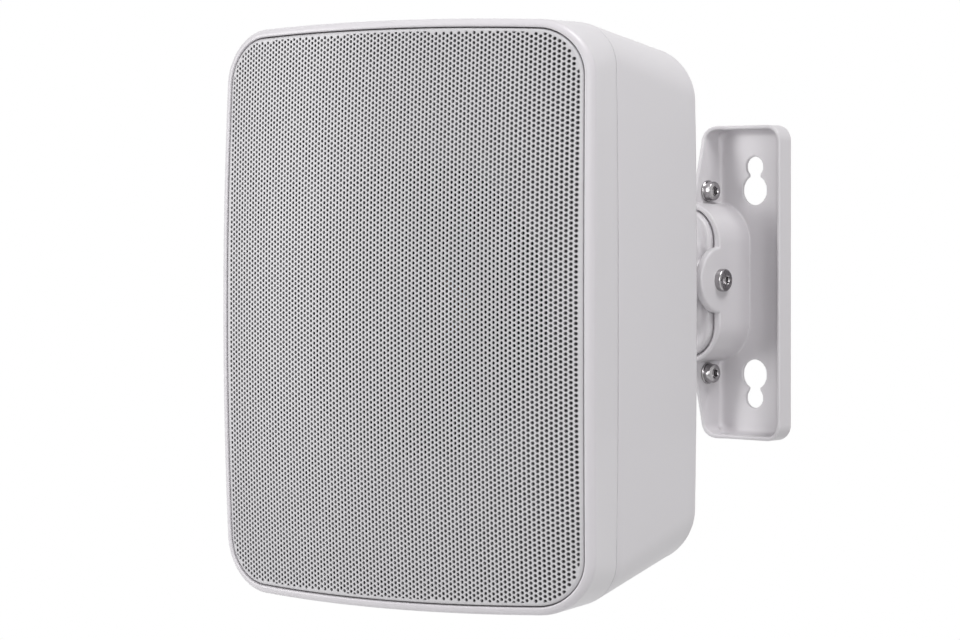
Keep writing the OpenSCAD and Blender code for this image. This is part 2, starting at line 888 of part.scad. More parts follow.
// Outline of one half on the wall, inset all round
module half_outline(inset) {
    w = plate_w - inset;
    h = plate_h / 2 - inset;
    r = plate_r - inset;
    translate([inset, -h + r])
        square([w - inset, 2 * h - 2 * r]);
    translate([inset + r, -h])
        square([w - inset - 2 * r, 2 * h]);
    for (x = [inset + r, w - r], z = [-h + r, h - r])
        translate([x, z])
            circle(r = r, $fn = 48);
}

// Keyhole through the floor, its wide end towards the middle
module keyhole(toward) {
    neck = 4;
    y_rod(key_r, -floor_t - 1, 1, 64);
    translate([0, 0, toward * key_run])
        y_rod(key_big_r, -floor_t - 1, 1, 64);
    translate([-neck, -floor_t - 1, min(0, toward * key_run)])
        cube([2 * neck, floor_t + 2, key_run]);
}

module bracket_half_right() {
    color(cast_colour)
        bracket_half(0);
}

// The left half is cut back beside the right half's flange, above and below the screws
module bracket_half_left() {
    color(cast_colour)
        mirror([1, 0, 0])
            difference() {
                bracket_half(left_drop);
                for (turn = [0, 1])
                    mirror([0, 0, turn])
                        translate([0, 1, 0])
                            rotate([90, 0, 0])
                                linear_extrude(hub_d + 2)
                                    left_relief();
            }
}

// What is cut from the left half above the joining screw
module left_relief() {
    near = join_z + left_keep;
    inner = left_cut - left_step;
    polygon([[-1, near], [inner, near], [inner, near + 6], [left_cut, near + 12], [left_cut, plate_h], [-1, plate_h]]);
}

module joining_screws() {
    color(steel_colour)
        for (side = [-1, 1])
            translate([rim_t + washer_t, -join_y, side * join_z])
                rotate([0, 0, 90])
                    y_screw(join_r, join_head_r, join_head_h, 2 * rim_t + 2 * washer_t + 7, 2.8);
}

module joining_washers() {
    color(steel_colour)
        for (side = [-1, 1], x = [rim_t, -rim_t - washer_t])
            translate([0, -join_y, side * join_z])
                difference() {
                    x_rod(join_washer_r, x, x + washer_t);
                    x_rod(join_r + slip, x - 1, x + washer_t + 1);
                }
}

module joining_nuts() {
    color(steel_colour)
        for (side = [-1, 1])
            translate([-rim_t - washer_t, -join_y, side * join_z])
                difference() {
                    x_rod(5.7, -5, 0, 6);
                    x_rod(join_r, -6, 1);
                }
}

module tilt_bolt() {
    color(steel_colour)
        translate([hub_w, -tilt_y, tilt_z])
            rotate([0, 0, 90])
                y_screw(tilt_bolt_r, tilt_head_r, tilt_head_h, 2 * hub_w + 8, 3);
}

module tilt_nut() {
    color(steel_colour)
        translate([-hub_w, -tilt_y, tilt_z])
            difference() {
                x_rod(7.4, -6.5, 0, 6);
                x_rod(tilt_bolt_r, -8, 1, 64);
            }
}

module tilt_washers() {
    color([0.9, 0.9, 0.88])
        translate([0, -tilt_y, tilt_z])
            for (x = [hub_inner_w - washer_t, -hub_inner_w])
                difference() {
                    x_rod(tilt_washer_r, x, x + washer_t);
                    x_rod(tilt_bolt_r + slip, x - 1, x + washer_t + 1);
                }
}

module connector_cover() {
    color(shell_colour)
        on_pan_joint()
            translate([0, cab_d, -bay_drop])
                difference() {
                    translate([0, cover_t, 0])
                        rotate([90, 0, 0])
                            linear_extrude(cover_t - 0.6)
                                soft_rect(cover_w, cover_h, 6);
                    for (p = cover_spots())
                        translate([p.x, 0, 0])
                            y_rod(small_screw_r, -1, cover_t + 1);
                    y_rod(cable_hole_r, -1, cover_t + 1, 64);
                }
}

module cover_seal() {
    color([0.2, 0.2, 0.21])
        on_pan_joint()
            translate([0, cab_d, -bay_drop])
                difference() {
                    translate([0, 0.6, 0])
                        rotate([90, 0, 0])
                            linear_extrude(0.6)
                                soft_rect(cover_w - 2, cover_h - 2, 5);
                    translate([-bay_w / 2, -1, -bay_h / 2])
                        cube([bay_w, 3, bay_h]);
                    for (p = cover_spots())
                        translate([p.x, 0, 0])
                            y_rod(small_screw_r, -1, 2);
                }
}

module cover_screws() {
    color(steel_colour)
        on_pan_joint()
            for (p = cover_spots())
                translate([p.x, cab_d + cover_t, p.y])
                    rotate([0, 0, 180])
                        y_screw(small_screw_r - slip, 3, 2, cover_t + wall, 1.3);
}

module cable_grommet() {
    color([0.15, 0.15, 0.16])
        on_pan_joint()
            translate([0, cab_d, -bay_drop])
                rotate([-90, 0, 0])
                    rotate_extrude($fn = 64)
                        polygon([
                            [2.4, -2], [cable_hole_r + 2, -2], [cable_hole_r + 2, 0.6], [cable_hole_r, 0.6],
                            [cable_hole_r, cover_t], [cable_hole_r + 2, cover_t], [cable_hole_r + 1, cover_t + 3],
                            [4, cover_t + 6], [2.4, cover_t + 6],
                        ]);
}

module main_board() {
    color([0.1, 0.35, 0.2])
        on_pan_joint()
            difference() {
                translate([-board_w / 2, board_front, board_z - board_h / 2])
                    cube([board_w, board_t, board_h]);
                for (p = board_spots())
                    translate([p.x, 0, p.y])
                        y_rod(small_screw_r, board_front - 1, board_back + 1);
            }
}

module board_screws() {
    color(steel_colour)
        on_pan_joint()
            for (p = board_spots())
                translate([p.x, board_front, p.y])
                    y_screw(small_screw_r - slip, 3, 2.2, board_t + 9, 1.3);
}

module heat_sink() {
    fins = 7;
    base = [64, 4, 50];
    color([0.55, 0.56, 0.58])
        on_pan_joint()
            translate([-base.x / 2, board_front - 3, board_z + 14]) {
                translate([0, -base.y, 0])
                    cube(base);
                for (i = [0:fins - 1])
                    translate([i * (base.x - 2) / (fins - 1), -base.y - 18, 0])
                        cube([2, 18 + eps, base.z]);
            }
}

module board_chips() {
    color([0.12, 0.12, 0.13])
        on_pan_joint() {
            translate([-24, board_front - 3, board_z + 20])
                cube([18, 3, 18]);
            translate([4, board_front - 3, board_z + 20])
                cube([22, 3, 30]);
            translate([-34, board_front - 2, board_z - 20])
                cube([14, 2, 14]);
            translate([18, board_front - 2, board_z - 58])
                cube([10, 2, 16]);
        }
}

module capacitors() {
    color([0.2, 0.22, 0.3])
        on_pan_joint()
            for (i = [0:2])
                translate([-30 + 16 * i, 0, board_z - 44])
                    y_rod(6, board_front - 18, board_front);
}

module power_transformer() {
    color([0.7, 0.6, 0.35])
        on_pan_joint()
            translate([4, board_front - 14, board_z - 26])
                cube([26, 14, 22]);
}

module network_jack() {
    color([0.75, 0.75, 0.77])
        on_pan_joint()
            translate([-24, board_back, -bay_drop - 7])
                difference() {
                    cube([16, 13.5, 14]);
                    translate([2, 2, 1.5])
                        cube([12, 13, 8]);
                }
}

module wire_terminal() {
    poles = 4;
    pitch = 5;
    color([0.15, 0.4, 0.25])
        on_pan_joint()
            translate([4, board_back, -bay_drop - 6])
                difference() {
                    cube([poles * pitch + 1, 10, 11]);
                    for (i = [0:poles - 1])
                        translate([0.75 + i * pitch, 4, 2])
                            cube([pitch - 1, 7, 4]);
                }
}

module damping_pad() {
    pad = [88, 60, 18];
    start = seam_y + 30;
    color([0.8, 0.8, 0.78])
        on_pan_joint()
            difference() {
                translate([-pad.x / 2, start, half_h(start + pad.y) - wall - pad.z - 1])
                    cube(pad);
                for (p = housing_spots())
                    translate([p.x, 0, p.y])
                        y_rod(boss_r + slip, start - 1, start + pad.y + 1);
            }
}

bracket_half_right();
bracket_half_left();
joining_screws();
joining_washers();
joining_nuts();
tilt_bolt();
tilt_nut();
tilt_washers();
tilt_arm();
rear_foot();
foot_screws();
backing_plate();
pan_bolt();
pan_nut();
pan_washers();
front_shell();
rear_shell();
shell_seal();
housing_screws();
grille();
grille_cloth();
connector_cover();
cover_seal();
cover_screws();
cable_grommet();
main_board();
board_screws();
heat_sink();
board_chips();
capacitors();
power_transformer();
network_jack();
wire_terminal();
damping_pad();
woofer_frame();
woofer_gasket();
woofer_surround();
woofer_spider();
woofer_screws();
front_plate();
magnet_ring();
yoke_plate();
woofer_cone();
voice_coil();
tweeter_post();
tweeter_cup();
tweeter_magnet();
tweeter_dome();
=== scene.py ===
import math

import bmesh
import bpy
import numpy as np
from mathutils import Matrix, Vector


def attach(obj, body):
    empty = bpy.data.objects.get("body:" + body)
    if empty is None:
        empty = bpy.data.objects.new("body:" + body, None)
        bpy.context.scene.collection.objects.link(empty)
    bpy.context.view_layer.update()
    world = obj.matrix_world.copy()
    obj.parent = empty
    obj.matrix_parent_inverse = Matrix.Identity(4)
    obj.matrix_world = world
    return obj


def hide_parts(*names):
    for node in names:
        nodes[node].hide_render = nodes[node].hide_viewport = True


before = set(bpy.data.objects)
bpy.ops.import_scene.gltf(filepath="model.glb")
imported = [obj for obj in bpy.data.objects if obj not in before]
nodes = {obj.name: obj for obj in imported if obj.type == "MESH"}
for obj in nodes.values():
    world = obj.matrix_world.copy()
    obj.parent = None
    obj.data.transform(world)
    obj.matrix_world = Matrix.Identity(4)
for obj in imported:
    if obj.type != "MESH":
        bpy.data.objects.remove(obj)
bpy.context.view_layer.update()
mm = 0.001
print("frame loaded")

# cabinet form, in millimetres, foremost point at y = 0, +y to the wall

cabinet = dict(
    height=280.0,
    width=208.0,
    depth=211.0,
    seam=65.0,
    seamGap=0.8,
    wall=3.6,
    bowAcross=362.0,
    bowOver=2136.0,
    frontDraft=math.tan(math.radians(11.0)),
    rearDraft=math.tan(math.radians(10.1)),
    frontFlare=math.tan(math.radians(1.7)),
    rearFall=math.tan(math.radians(2.4)),
    cornerFront=25.7,
    cornerSeam=21.0,
    cornerBack=27.0,
    backRound=15.0,
    sideBulge=1.5,
    topBulge=2.6,
    lipRadius=3.0,
    lipLand=0.85,
    arcSteps=16,
    sideSteps=22,
)
joint = dict(panY=102.0, panGap=20.0, panRest=11.0, footRise=9.0)
driver = dict(baffle=31.0, baffleThickness=6.0, hole=65.0, rise=2.0)

panTurn = Matrix.Rotation(math.radians(joint["panRest"]), 4, "Z")
cabinetPlace = (
    Matrix.Translation((0, -joint["panY"], 0))
    @ panTurn
    @ Matrix.Translation((0, -cabinet["depth"] - joint["panGap"], -joint["footRise"]))
)


def frontReach(y):
    return min(max(y, cabinet["lipRadius"]), cabinet["seam"]) - cabinet["lipRadius"]


def halfWidth(y):
    c = cabinet
    return c["width"] / 2 - c["frontDraft"] * frontReach(y) - c["rearDraft"] * max(0, y - c["seam"])


def halfHeight(y):
    c = cabinet
    return c["height"] / 2 + c["frontFlare"] * frontReach(y) - c["rearFall"] * max(0, y - c["seam"])


def cornerAt(y):
    c = cabinet
    if y < c["seam"]:
        share = max(0, y - c["lipRadius"]) / (c["seam"] - c["lipRadius"])
        return c["cornerFront"] + (c["cornerSeam"] - c["cornerFront"]) * share
    share = min(1, (y - c["seam"]) / (c["depth"] - c["backRound"] - c["seam"]))
    return c["cornerSeam"] + (c["cornerBack"] - c["cornerSeam"]) * share


def bow(x, z):
    return x * x / (2 * cabinet["bowAcross"]) + z * z / (2 * cabinet["bowOver"])


def bowShare(y):
    c = cabinet
    end = c["seam"] - c["seamGap"] / 2
    return 1 - min(1, max(0, y - c["lipRadius"]) / (end - c["lipRadius"]))


def outline(a, b, r):
    points = []
    for corner in range(4):
        sx = 1 if corner in (0, 3) else -1
        sz = 1 if corner < 2 else -1
        arc = np.radians(90 * corner + 90 * np.arange(cabinet["arcSteps"] + 1) / cabinet["arcSteps"])
        points.append(np.stack([sx * (a - r) + r * np.cos(arc), sz * (b - r) + r * np.sin(arc)], 1))
        nextCorner = (corner + 1) % 4
        nx = 1 if nextCorner in (0, 3) else -1
        nz = 1 if nextCorner < 2 else -1
        turn = math.radians(90 * nextCorner)
        target = np.array([nx * (a - r) + r * math.cos(turn), nz * (b - r) + r * math.sin(turn)])
        s = np.arange(1, cabinet["sideSteps"] + 1)[:, None] / (cabinet["sideSteps"] + 1)
        points.append((1 - s) * points[-1][-1] + s * target)
    p = np.concatenate(points)
    x = p[:, 0] - cabinet["sideBulge"] * p[:, 0] / a * (p[:, 1] / b) ** 2
    z = p[:, 1] - cabinet["topBulge"] * p[:, 1] / b * (p[:, 0] / a) ** 2
    return np.stack([x, z], 1)


def ring(y, inset=0.0, share=0.0, at=None, scale=1.0):
    d = y if at is None else at
    p = outline(halfWidth(d) - inset, halfHeight(d) - inset, max(cornerAt(d) - inset, 2.0)) * scale
    return np.stack([p[:, 0], y + share * bow(p[:, 0], p[:, 1]), p[:, 1]], 1)


def lipRing(y, inset):
    return ring(y, inset, 1.0, at=cabinet["lipRadius"])


def quarter(start, end, steps):
    return np.radians(np.linspace(start, end, steps))


def circleRing(y, radius, rise):
    p = outline(cabinet["width"] / 2, cabinet["height"] / 2, cabinet["cornerFront"])
    angle = np.arctan2(p[:, 1] - rise, p[:, 0])
    return np.stack([radius * np.cos(angle), np.full(len(p), y), rise + radius * np.sin(angle)], 1)


def inMetres(origin):
    shift = origin.copy()
    shift.translation *= mm
    return shift


def showMesh(name, mesh):
    thing = bpy.data.objects.new(name, mesh)
    bpy.context.collection.objects.link(thing)
    return thing


def meshObject(name, points, faces, material, origin=None, sharp=32.0):
    mesh = bpy.data.meshes.new(name)
    mesh.from_pydata((np.asarray(points) * mm).tolist(), [], faces)
    form = bmesh.new()
    form.from_mesh(mesh)
    bmesh.ops.remove_doubles(form, verts=form.verts, dist=1e-6)
    bmesh.ops.recalc_face_normals(form, faces=form.faces)
    form.to_mesh(mesh)
    form.free()
    if origin is not None:
        mesh.transform(inMetres(origin))
    mesh.shade_smooth()
    mesh.set_sharp_from_angle(angle=math.radians(sharp))
    mesh.materials.append(material)
    return showMesh(name, mesh)


def loft(rings, closed=False):
    n = len(rings[0])
    points = np.concatenate(rings)
    faces = []
    count = len(rings)
    for k in range(count if closed else count - 1):
        a, b = k * n, (k + 1) % count * n
        for i in range(n):
            j = (i + 1) % n
            faces.append((a + i, a + j, b + j, b + i))
    if not closed:
        faces.append(tuple(range(n)))
        faces.append(tuple(range((count - 1) * n, count * n)))
    return points, faces


def cutWith(thing, cutters):
    for cutter in cutters:
        step = thing.modifiers.new("cut", "BOOLEAN")
        step.operation = "DIFFERENCE"
        step.solver = "EXACT"
        step.object = cutter
    bpy.context.view_layer.update()
    result = bpy.data.meshes.new_from_object(thing.evaluated_get(bpy.context.evaluated_depsgraph_get()))
    thing.modifiers.clear()
    thing.data = result
    for cutter in cutters:
        bpy.data.objects.remove(cutter, do_unlink=True)


def standFor(thing, body, node):
    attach(thing, body)
    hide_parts(node)


# shader groups and materials


def addSocket(group, name, side, kind, value=None):
    socket = group.interface.new_socket(name=name, in_out=side, socket_type=kind)
    if value is not None:
        socket.default_value = value
    return socket


def buildGrain():
    group = bpy.data.node_groups.new("fineGrain", "ShaderNodeTree")
    addSocket(group, "tone", "INPUT", "NodeSocketColor", (0.8, 0.8, 0.8, 1))
    addSocket(group, "grainScale", "INPUT", "NodeSocketFloat", 900.0)
    addSocket(group, "grainHeight", "INPUT", "NodeSocketFloat", 0.1)
    addSocket(group, "toneSpread", "INPUT", "NodeSocketFloat", 0.03)
    addSocket(group, "roughness", "INPUT", "NodeSocketFloat", 0.45)
    addSocket(group, "roughSpread", "INPUT", "NodeSocketFloat", 0.08)
    addSocket(group, "tone", "OUTPUT", "NodeSocketColor")
    addSocket(group, "roughness", "OUTPUT", "NodeSocketFloat")
    addSocket(group, "normal", "OUTPUT", "NodeSocketVector")
    n, link = group.nodes, group.links
    given = n.new("NodeGroupInput")
    result = n.new("NodeGroupOutput")
    coordinate = n.new("ShaderNodeTexCoord")
    fine = n.new("ShaderNodeTexNoise")
    fine.inputs["Detail"].default_value = 2.0
    broad = n.new("ShaderNodeTexNoise")
    broad.inputs["Scale"].default_value = 18.0
    link.new(coordinate.outputs["Object"], fine.inputs["Vector"])
    link.new(coordinate.outputs["Object"], broad.inputs["Vector"])
    link.new(given.outputs["grainScale"], fine.inputs["Scale"])
    bump = n.new("ShaderNodeBump")
    bump.inputs["Distance"].default_value = 0.0001
    link.new(given.outputs["grainHeight"], bump.inputs["Strength"])
    link.new(fine.outputs["Fac"], bump.inputs["Height"])
    centred = n.new("ShaderNodeMath")
    centred.operation = "SUBTRACT"
    centred.inputs[1].default_value = 0.5
    link.new(broad.outputs["Fac"], centred.inputs[0])
    toneStep = n.new("ShaderNodeMath")
    toneStep.operation = "MULTIPLY_ADD"
    toneStep.inputs[2].default_value = 1.0
    link.new(centred.outputs[0], toneStep.inputs[0])
    link.new(given.outputs["toneSpread"], toneStep.inputs[1])
    shade = n.new("ShaderNodeVectorMath")
    shade.operation = "SCALE"
    link.new(given.outputs["tone"], shade.inputs[0])
    link.new(toneStep.outputs[0], shade.inputs["Scale"])
    roughStep = n.new("ShaderNodeMath")
    roughStep.operation = "MULTIPLY_ADD"
    link.new(centred.outputs[0], roughStep.inputs[0])
    link.new(given.outputs["roughSpread"], roughStep.inputs[1])
    link.new(given.outputs["roughness"], roughStep.inputs[2])
    link.new(shade.outputs[0], result.inputs["tone"])
    link.new(roughStep.outputs[0], result.inputs["roughness"])
    link.new(bump.outputs["Normal"], result.inputs["normal"])
    return group


grain = buildGrain()


def finish(
    name, tone, roughness, metallic=0.0, grainScale=900.0, grainHeight=0.1, toneSpread=0.03, roughSpread=0.08
):
    material = bpy.data.materials.new(name)
    material.use_nodes = True
    n, link = material.node_tree.nodes, material.node_tree.links
    shader = n["Principled BSDF"]
    layer = n.new("ShaderNodeGroup")
    layer.node_tree = grain
    layer.inputs["tone"].default_value = (*tone, 1)
    layer.inputs["grainScale"].default_value = grainScale
    layer.inputs["grainHeight"].default_value = grainHeight
    layer.inputs["toneSpread"].default_value = toneSpread
    layer.inputs["roughness"].default_value = roughness
    layer.inputs["roughSpread"].default_value = roughSpread
    shader.inputs["Metallic"].default_value = metallic
    link.new(layer.outputs["tone"], shader.inputs["Base Color"])
    link.new(layer.outputs["roughness"], shader.inputs["Roughness"])
    link.new(layer.outputs["normal"], shader.inputs["Normal"])
    return material


def scrim(name, tone, openShare):
    material = finish(name, tone, 0.9, grainScale=2500.0, grainHeight=0.6)
    n, link = material.node_tree.nodes, material.node_tree.links
    clear = n.new("ShaderNodeBsdfTransparent")
    mix = n.new("ShaderNodeMixShader")
    mix.inputs[0].default_value = openShare
    link.new(n["Principled BSDF"].outputs[0], mix.inputs[1])
    link.new(clear.outputs[0], mix.inputs[2])
    link.new(mix.outputs[0], n["Material Output"].inputs["Surface"])
    return material


shellPlastic = finish(
    "shellPlastic", (0.672, 0.65, 0.677), 0.34,
    grainScale=1400, grainHeight=0.04, toneSpread=0.01, roughSpread=0.015,
)
castPaint = finish(
    "castPaint", (0.65, 0.63, 0.652), 0.36,
    grainScale=500, grainHeight=0.15, toneSpread=0.015, roughSpread=0.02,
)
sheetPaint = finish(
    "sheetPaint", (0.59, 0.58, 0.597), 0.38, grainHeight=0.03, toneSpread=0.01, roughSpread=0.02
)
steel = finish("steel", (0.40, 0.388, 0.396), 0.2, metallic=1.0, grainScale=300, grainHeight=0.05)
platedSteel = finish("platedSteel", (0.55, 0.54, 0.53), 0.35, metallic=1.0)
nylon = finish("nylon", (0.75, 0.75, 0.72), 0.5)
sealRubber = finish("sealRubber", (0.02, 0.02, 0.021), 0.75)
rollRubber = finish("rollRubber", (0.008, 0.008, 0.009), 0.55)
clothBlack = scrim("clothBlack", (0.06, 0.06, 0.062), 0.6)
paper = finish("paper", (0.012, 0.012, 0.013), 0.8, grainScale=600, grainHeight=0.5)
frameSteel = finish("frameSteel", (0.03, 0.03, 0.034), 0.5)
ferrite = finish("ferrite", (0.025, 0.025, 0.027), 0.6)
copper = finish("copper", (0.6, 0.25, 0.1), 0.35, metallic=1.0)
spiderCloth = finish("spiderCloth", (0.5, 0.33, 0.08), 0.85)
boardGreen = finish("boardGreen", (0.01, 0.09, 0.035), 0.3)
chipBlack = finish("chipBlack", (0.012, 0.012, 0.013), 0.45)
sinkAlloy = finish("sinkAlloy", (0.4, 0.41, 0.43), 0.4, metallic=1.0)
canFoil = finish("canFoil", (0.03, 0.035, 0.06), 0.3)
coreTape = finish("coreTape", (0.45, 0.3, 0.08), 0.4)
terminalGreen = finish("terminalGreen", (0.02, 0.13, 0.05), 0.4)
wadding = finish("wadding", (0.6, 0.6, 0.58), 0.95, grainScale=200, grainHeight=1.0)
silk = finish("silk", (0.01, 0.01, 0.011), 0.5)
cupPlastic = finish("cupPlastic", (0.015, 0.015, 0.016), 0.5)

cadFinish = {
    "joining_nuts": steel, "tilt_nut": steel, "foot_screws": steel, "pan_bolt": steel, "pan_nut": steel,
    "housing_screws": steel, "cover_screws": steel, "board_screws": steel, "woofer_screws": steel,
    "tweeter_post": steel, "joining_washers": steel, "joining_screws": steel, "tilt_bolt": steel,
    "tilt_washers": nylon, "pan_washers": nylon, "tilt_arm": castPaint, "rear_foot": castPaint,
    "bracket_half_left": castPaint, "bracket_half_right": castPaint, "connector_cover": shellPlastic,
    "front_shell": shellPlastic, "rear_shell": shellPlastic,
    "grille": sheetPaint, "grille_cloth": clothBlack, "shell_seal": sealRubber, "cover_seal": sealRubber,
    "cable_grommet": sealRubber, "woofer_gasket": sealRubber, "woofer_surround": rollRubber,
    "main_board": boardGreen, "board_chips": chipBlack, "heat_sink": sinkAlloy, "capacitors": canFoil,
    "power_transformer": coreTape, "network_jack": platedSteel, "front_plate": platedSteel,
    "yoke_plate": platedSteel, "backing_plate": platedSteel, "tweeter_magnet": platedSteel,
    "wire_terminal": terminalGreen, "damping_pad": wadding, "woofer_frame": frameSteel,
    "woofer_spider": spiderCloth, "woofer_cone": paper, "voice_coil": copper, "magnet_ring": ferrite,
    "tweeter_cup": cupPlastic, "tweeter_dome": silk,
}
for nodeName, material in cadFinish.items():
    for materialSlot in nodes[nodeName].material_slots:
        materialSlot.material = material
print("materials ready")

# cabinet shells

lipInset = cabinet["lipRadius"] + cabinet["lipLand"]
shellPieces = dict(
    ledge=2.0,
    rimDepth=9.0,
    innerEdge=0.8,
    seamEdge=0.2,
    lipSteps=10,
    sideRings=14,
    holeRadius=3.6,
    holeDepth=30.0,
    holeMargin=20.0,
    bayHalfWidth=30.0,
    bayHalfHeight=17.0,
    bayDepth=8.0,
    bayDrop=84.0,
)


def buildFrontShell():
    s, c, d = shellPieces, cabinet, driver
    end = c["seam"] - c["seamGap"] / 2
    rings = [
        circleRing(d["baffle"], d["hole"], d["rise"]),
        ring(d["baffle"], lipInset + s["ledge"]),
        lipRing(s["rimDepth"], lipInset + s["ledge"]),
        lipRing(s["rimDepth"], lipInset),
    ]
    for t in quarter(0, 90, 7):
        e = s["innerEdge"]
        rings.append(lipRing(e * (1 - math.sin(t)), lipInset - e * (1 - math.cos(t))))
    r = c["lipRadius"]
    for t in quarter(90, 0, s["lipSteps"]):
        rings.append(lipRing(r * (1 - math.sin(t)), r * (1 - math.cos(t))))
    for t in np.linspace(0, 1, s["sideRings"])[1:]:
        y = r + t * (end - s["seamEdge"] - r)
        rings.append(ring(y, 0, bowShare(y)))
    for t in np.radians([30, 60, 90]):
        e = s["seamEdge"]
        y = end - e * (1 - math.sin(t))
        rings.append(ring(y, e * (1 - math.cos(t)), bowShare(y)))
    rings.append(ring(end, c["wall"]))
    rings.append(ring(d["baffle"] + d["baffleThickness"], c["wall"]))
    rings.append(circleRing(d["baffle"] + d["baffleThickness"], d["hole"], d["rise"]))
    points, faces = loft(rings, closed=True)
    return meshObject("frontShell", points, faces, shellPlastic, cabinetPlace)


def cylinder(radius, start, end, steps):
    a = np.linspace(0, 2 * np.pi, steps, endpoint=False)
    rings = [np.stack([radius * np.cos(a), np.full(steps, y), radius * np.sin(a)], 1) for y in (start, end)]
    return loft(rings)


def cutter(points, faces, at):
    return meshObject("cutter", np.asarray(points) + np.asarray(at), faces, shellPlastic, cabinetPlace)


def buildRearShell():
    s, c = shellPieces, cabinet
    start = c["seam"] + c["seamGap"] / 2
    backStart = c["depth"] - c["backRound"]
    innerRound = c["backRound"] - c["wall"]
    rings = [ring(c["depth"] - c["wall"], c["backRound"], at=backStart, scale=k) for k in (0.15, 0.5)]
    for t in quarter(90, 0, 8):
        inset = c["wall"] + innerRound * (1 - math.cos(t))
        rings.append(ring(backStart + innerRound * math.sin(t), inset, at=backStart))
    for t in np.linspace(1, 0, 8)[1:]:
        rings.append(ring(start + t * (backStart - start), c["wall"]))
    for t in np.radians([90, 60, 30]):
        e = s["seamEdge"]
        rings.append(ring(start + e * (1 - math.sin(t)), e * (1 - math.cos(t))))
    for t in np.linspace(0, 1, s["sideRings"]):
        rings.append(ring(start + s["seamEdge"] + t * (backStart - start - s["seamEdge"])))
    for t in quarter(0, 90, 12)[1:]:
        inset = c["backRound"] * (1 - math.cos(t))
        rings.append(ring(backStart + c["backRound"] * math.sin(t), inset, at=backStart))
    rings += [ring(c["depth"], c["backRound"], at=backStart, scale=k) for k in (0.97, 0.5, 0.15)]
    points, faces = loft(rings)
    shell = meshObject("rearShell", points, faces, shellPlastic, cabinetPlace)
    x, z = halfWidth(backStart) - s["holeMargin"], halfHeight(backStart) - s["holeMargin"]
    cutters = []
    for sx in (-1, 0, 1):
        for sz in (-1, 1):
            hole = cylinder(s["holeRadius"], c["depth"] - s["holeDepth"], c["depth"] + 2, 48)
            cutters.append(cutter(*hole, (sx * x, 0, sz * z)))
    a, b = s["bayHalfWidth"], s["bayHalfHeight"]
    ends = (c["depth"] - s["bayDepth"], c["depth"] + 3)
    bay = [np.array([[-a, y, -b], [a, y, -b], [a, y, b], [-a, y, b]]) for y in ends]
    cutters.append(cutter(*loft(bay), (0, 0, -s["bayDrop"])))
    cutWith(shell, cutters)
    shell.data.shade_smooth()
    shell.data.set_sharp_from_angle(angle=math.radians(32))
    return shell


standFor(buildFrontShell(), "cabinet", "front_shell")
standFor(buildRearShell(), "cabinet", "rear_shell")
print("shells built")

# perforated grille

grille = dict(
    gap=0.6,
    thickness=1.0,
    rimDepth=9.0,
    fold=1.3,
    pitchAcross=2.06,
    pitchUp=2.37,
    hole=0.85,
    squeeze=0.955,
    stretchFrom=60.0,
    stretch=3.2,
    phase=-1.3,
    wallDepth=0.9,
    lead=0.02,
    inset=1.5,
    blankBand=1.4,
    columns=109,
    rows=125,
)
grilleInset = lipInset + grille["gap"]


def buildGrilleRim():
    g = grille
    t = g["thickness"]
    rings = [lipRing(t, grilleInset + g["fold"] + 0.2), lipRing(0.1, grilleInset + g["fold"] + 0.15)]
    rings.append(lipRing(-g["lead"], grilleInset + g["fold"] + 0.05))
    for a in quarter(90, 0, 6):
        inset = grilleInset + g["fold"] * (1 - math.cos(a))
        rings.append(lipRing(-g["lead"] + g["fold"] * (1 - math.sin(a)), inset))
    rings.append(lipRing(g["rimDepth"] - 0.05, grilleInset))
    rings.append(lipRing(g["rimDepth"] - 0.05, grilleInset + t))
    rings.append(lipRing(t, grilleInset + t))
    points, faces = loft(rings, closed=True)
    return meshObject("grilleRim", points, faces, sheetPaint, cabinetPlace, sharp=40)


def tileObject(name, points, faces):
    mesh = bpy.data.meshes.new(name)
    mesh.from_pydata([tuple(v * mm for v in p) for p in points], [], faces)
    return showMesh(name, mesh)


def circlePoints(radius, steps):
    turns = [math.radians(360 * k / steps) for k in range(steps)]
    return [(radius * math.cos(t), 0, radius * math.sin(t)) for t in turns]


def grilleTiles():
    around = 12
    hexagon = circlePoints(grille["pitchUp"] / math.sqrt(3), 6)
    rim = circlePoints(grille["hole"], around)
    faces = []
    for k in range(6):
        outer, nextOuter = k, (k + 1) % 6
        before, here, after = 6 + (2 * k - 1) % around, 6 + 2 * k, 6 + 2 * k + 1
        faces += [(outer, before, here), (outer, here, after), (outer, after, nextOuter)]
    holed = tileObject("holedTile", hexagon + rim, [f[::-1] for f in faces])
    blank = tileObject("blankTile", hexagon, [tuple(range(6))])
    deep = [(x, grille["wallDepth"], z) for x, y, z in rim]
    sides = [(k, (k + 1) % around, around + (k + 1) % around, around + k) for k in range(around)]
    walls = tileObject("wallTile", rim + deep, sides)
    return holed, blank, walls


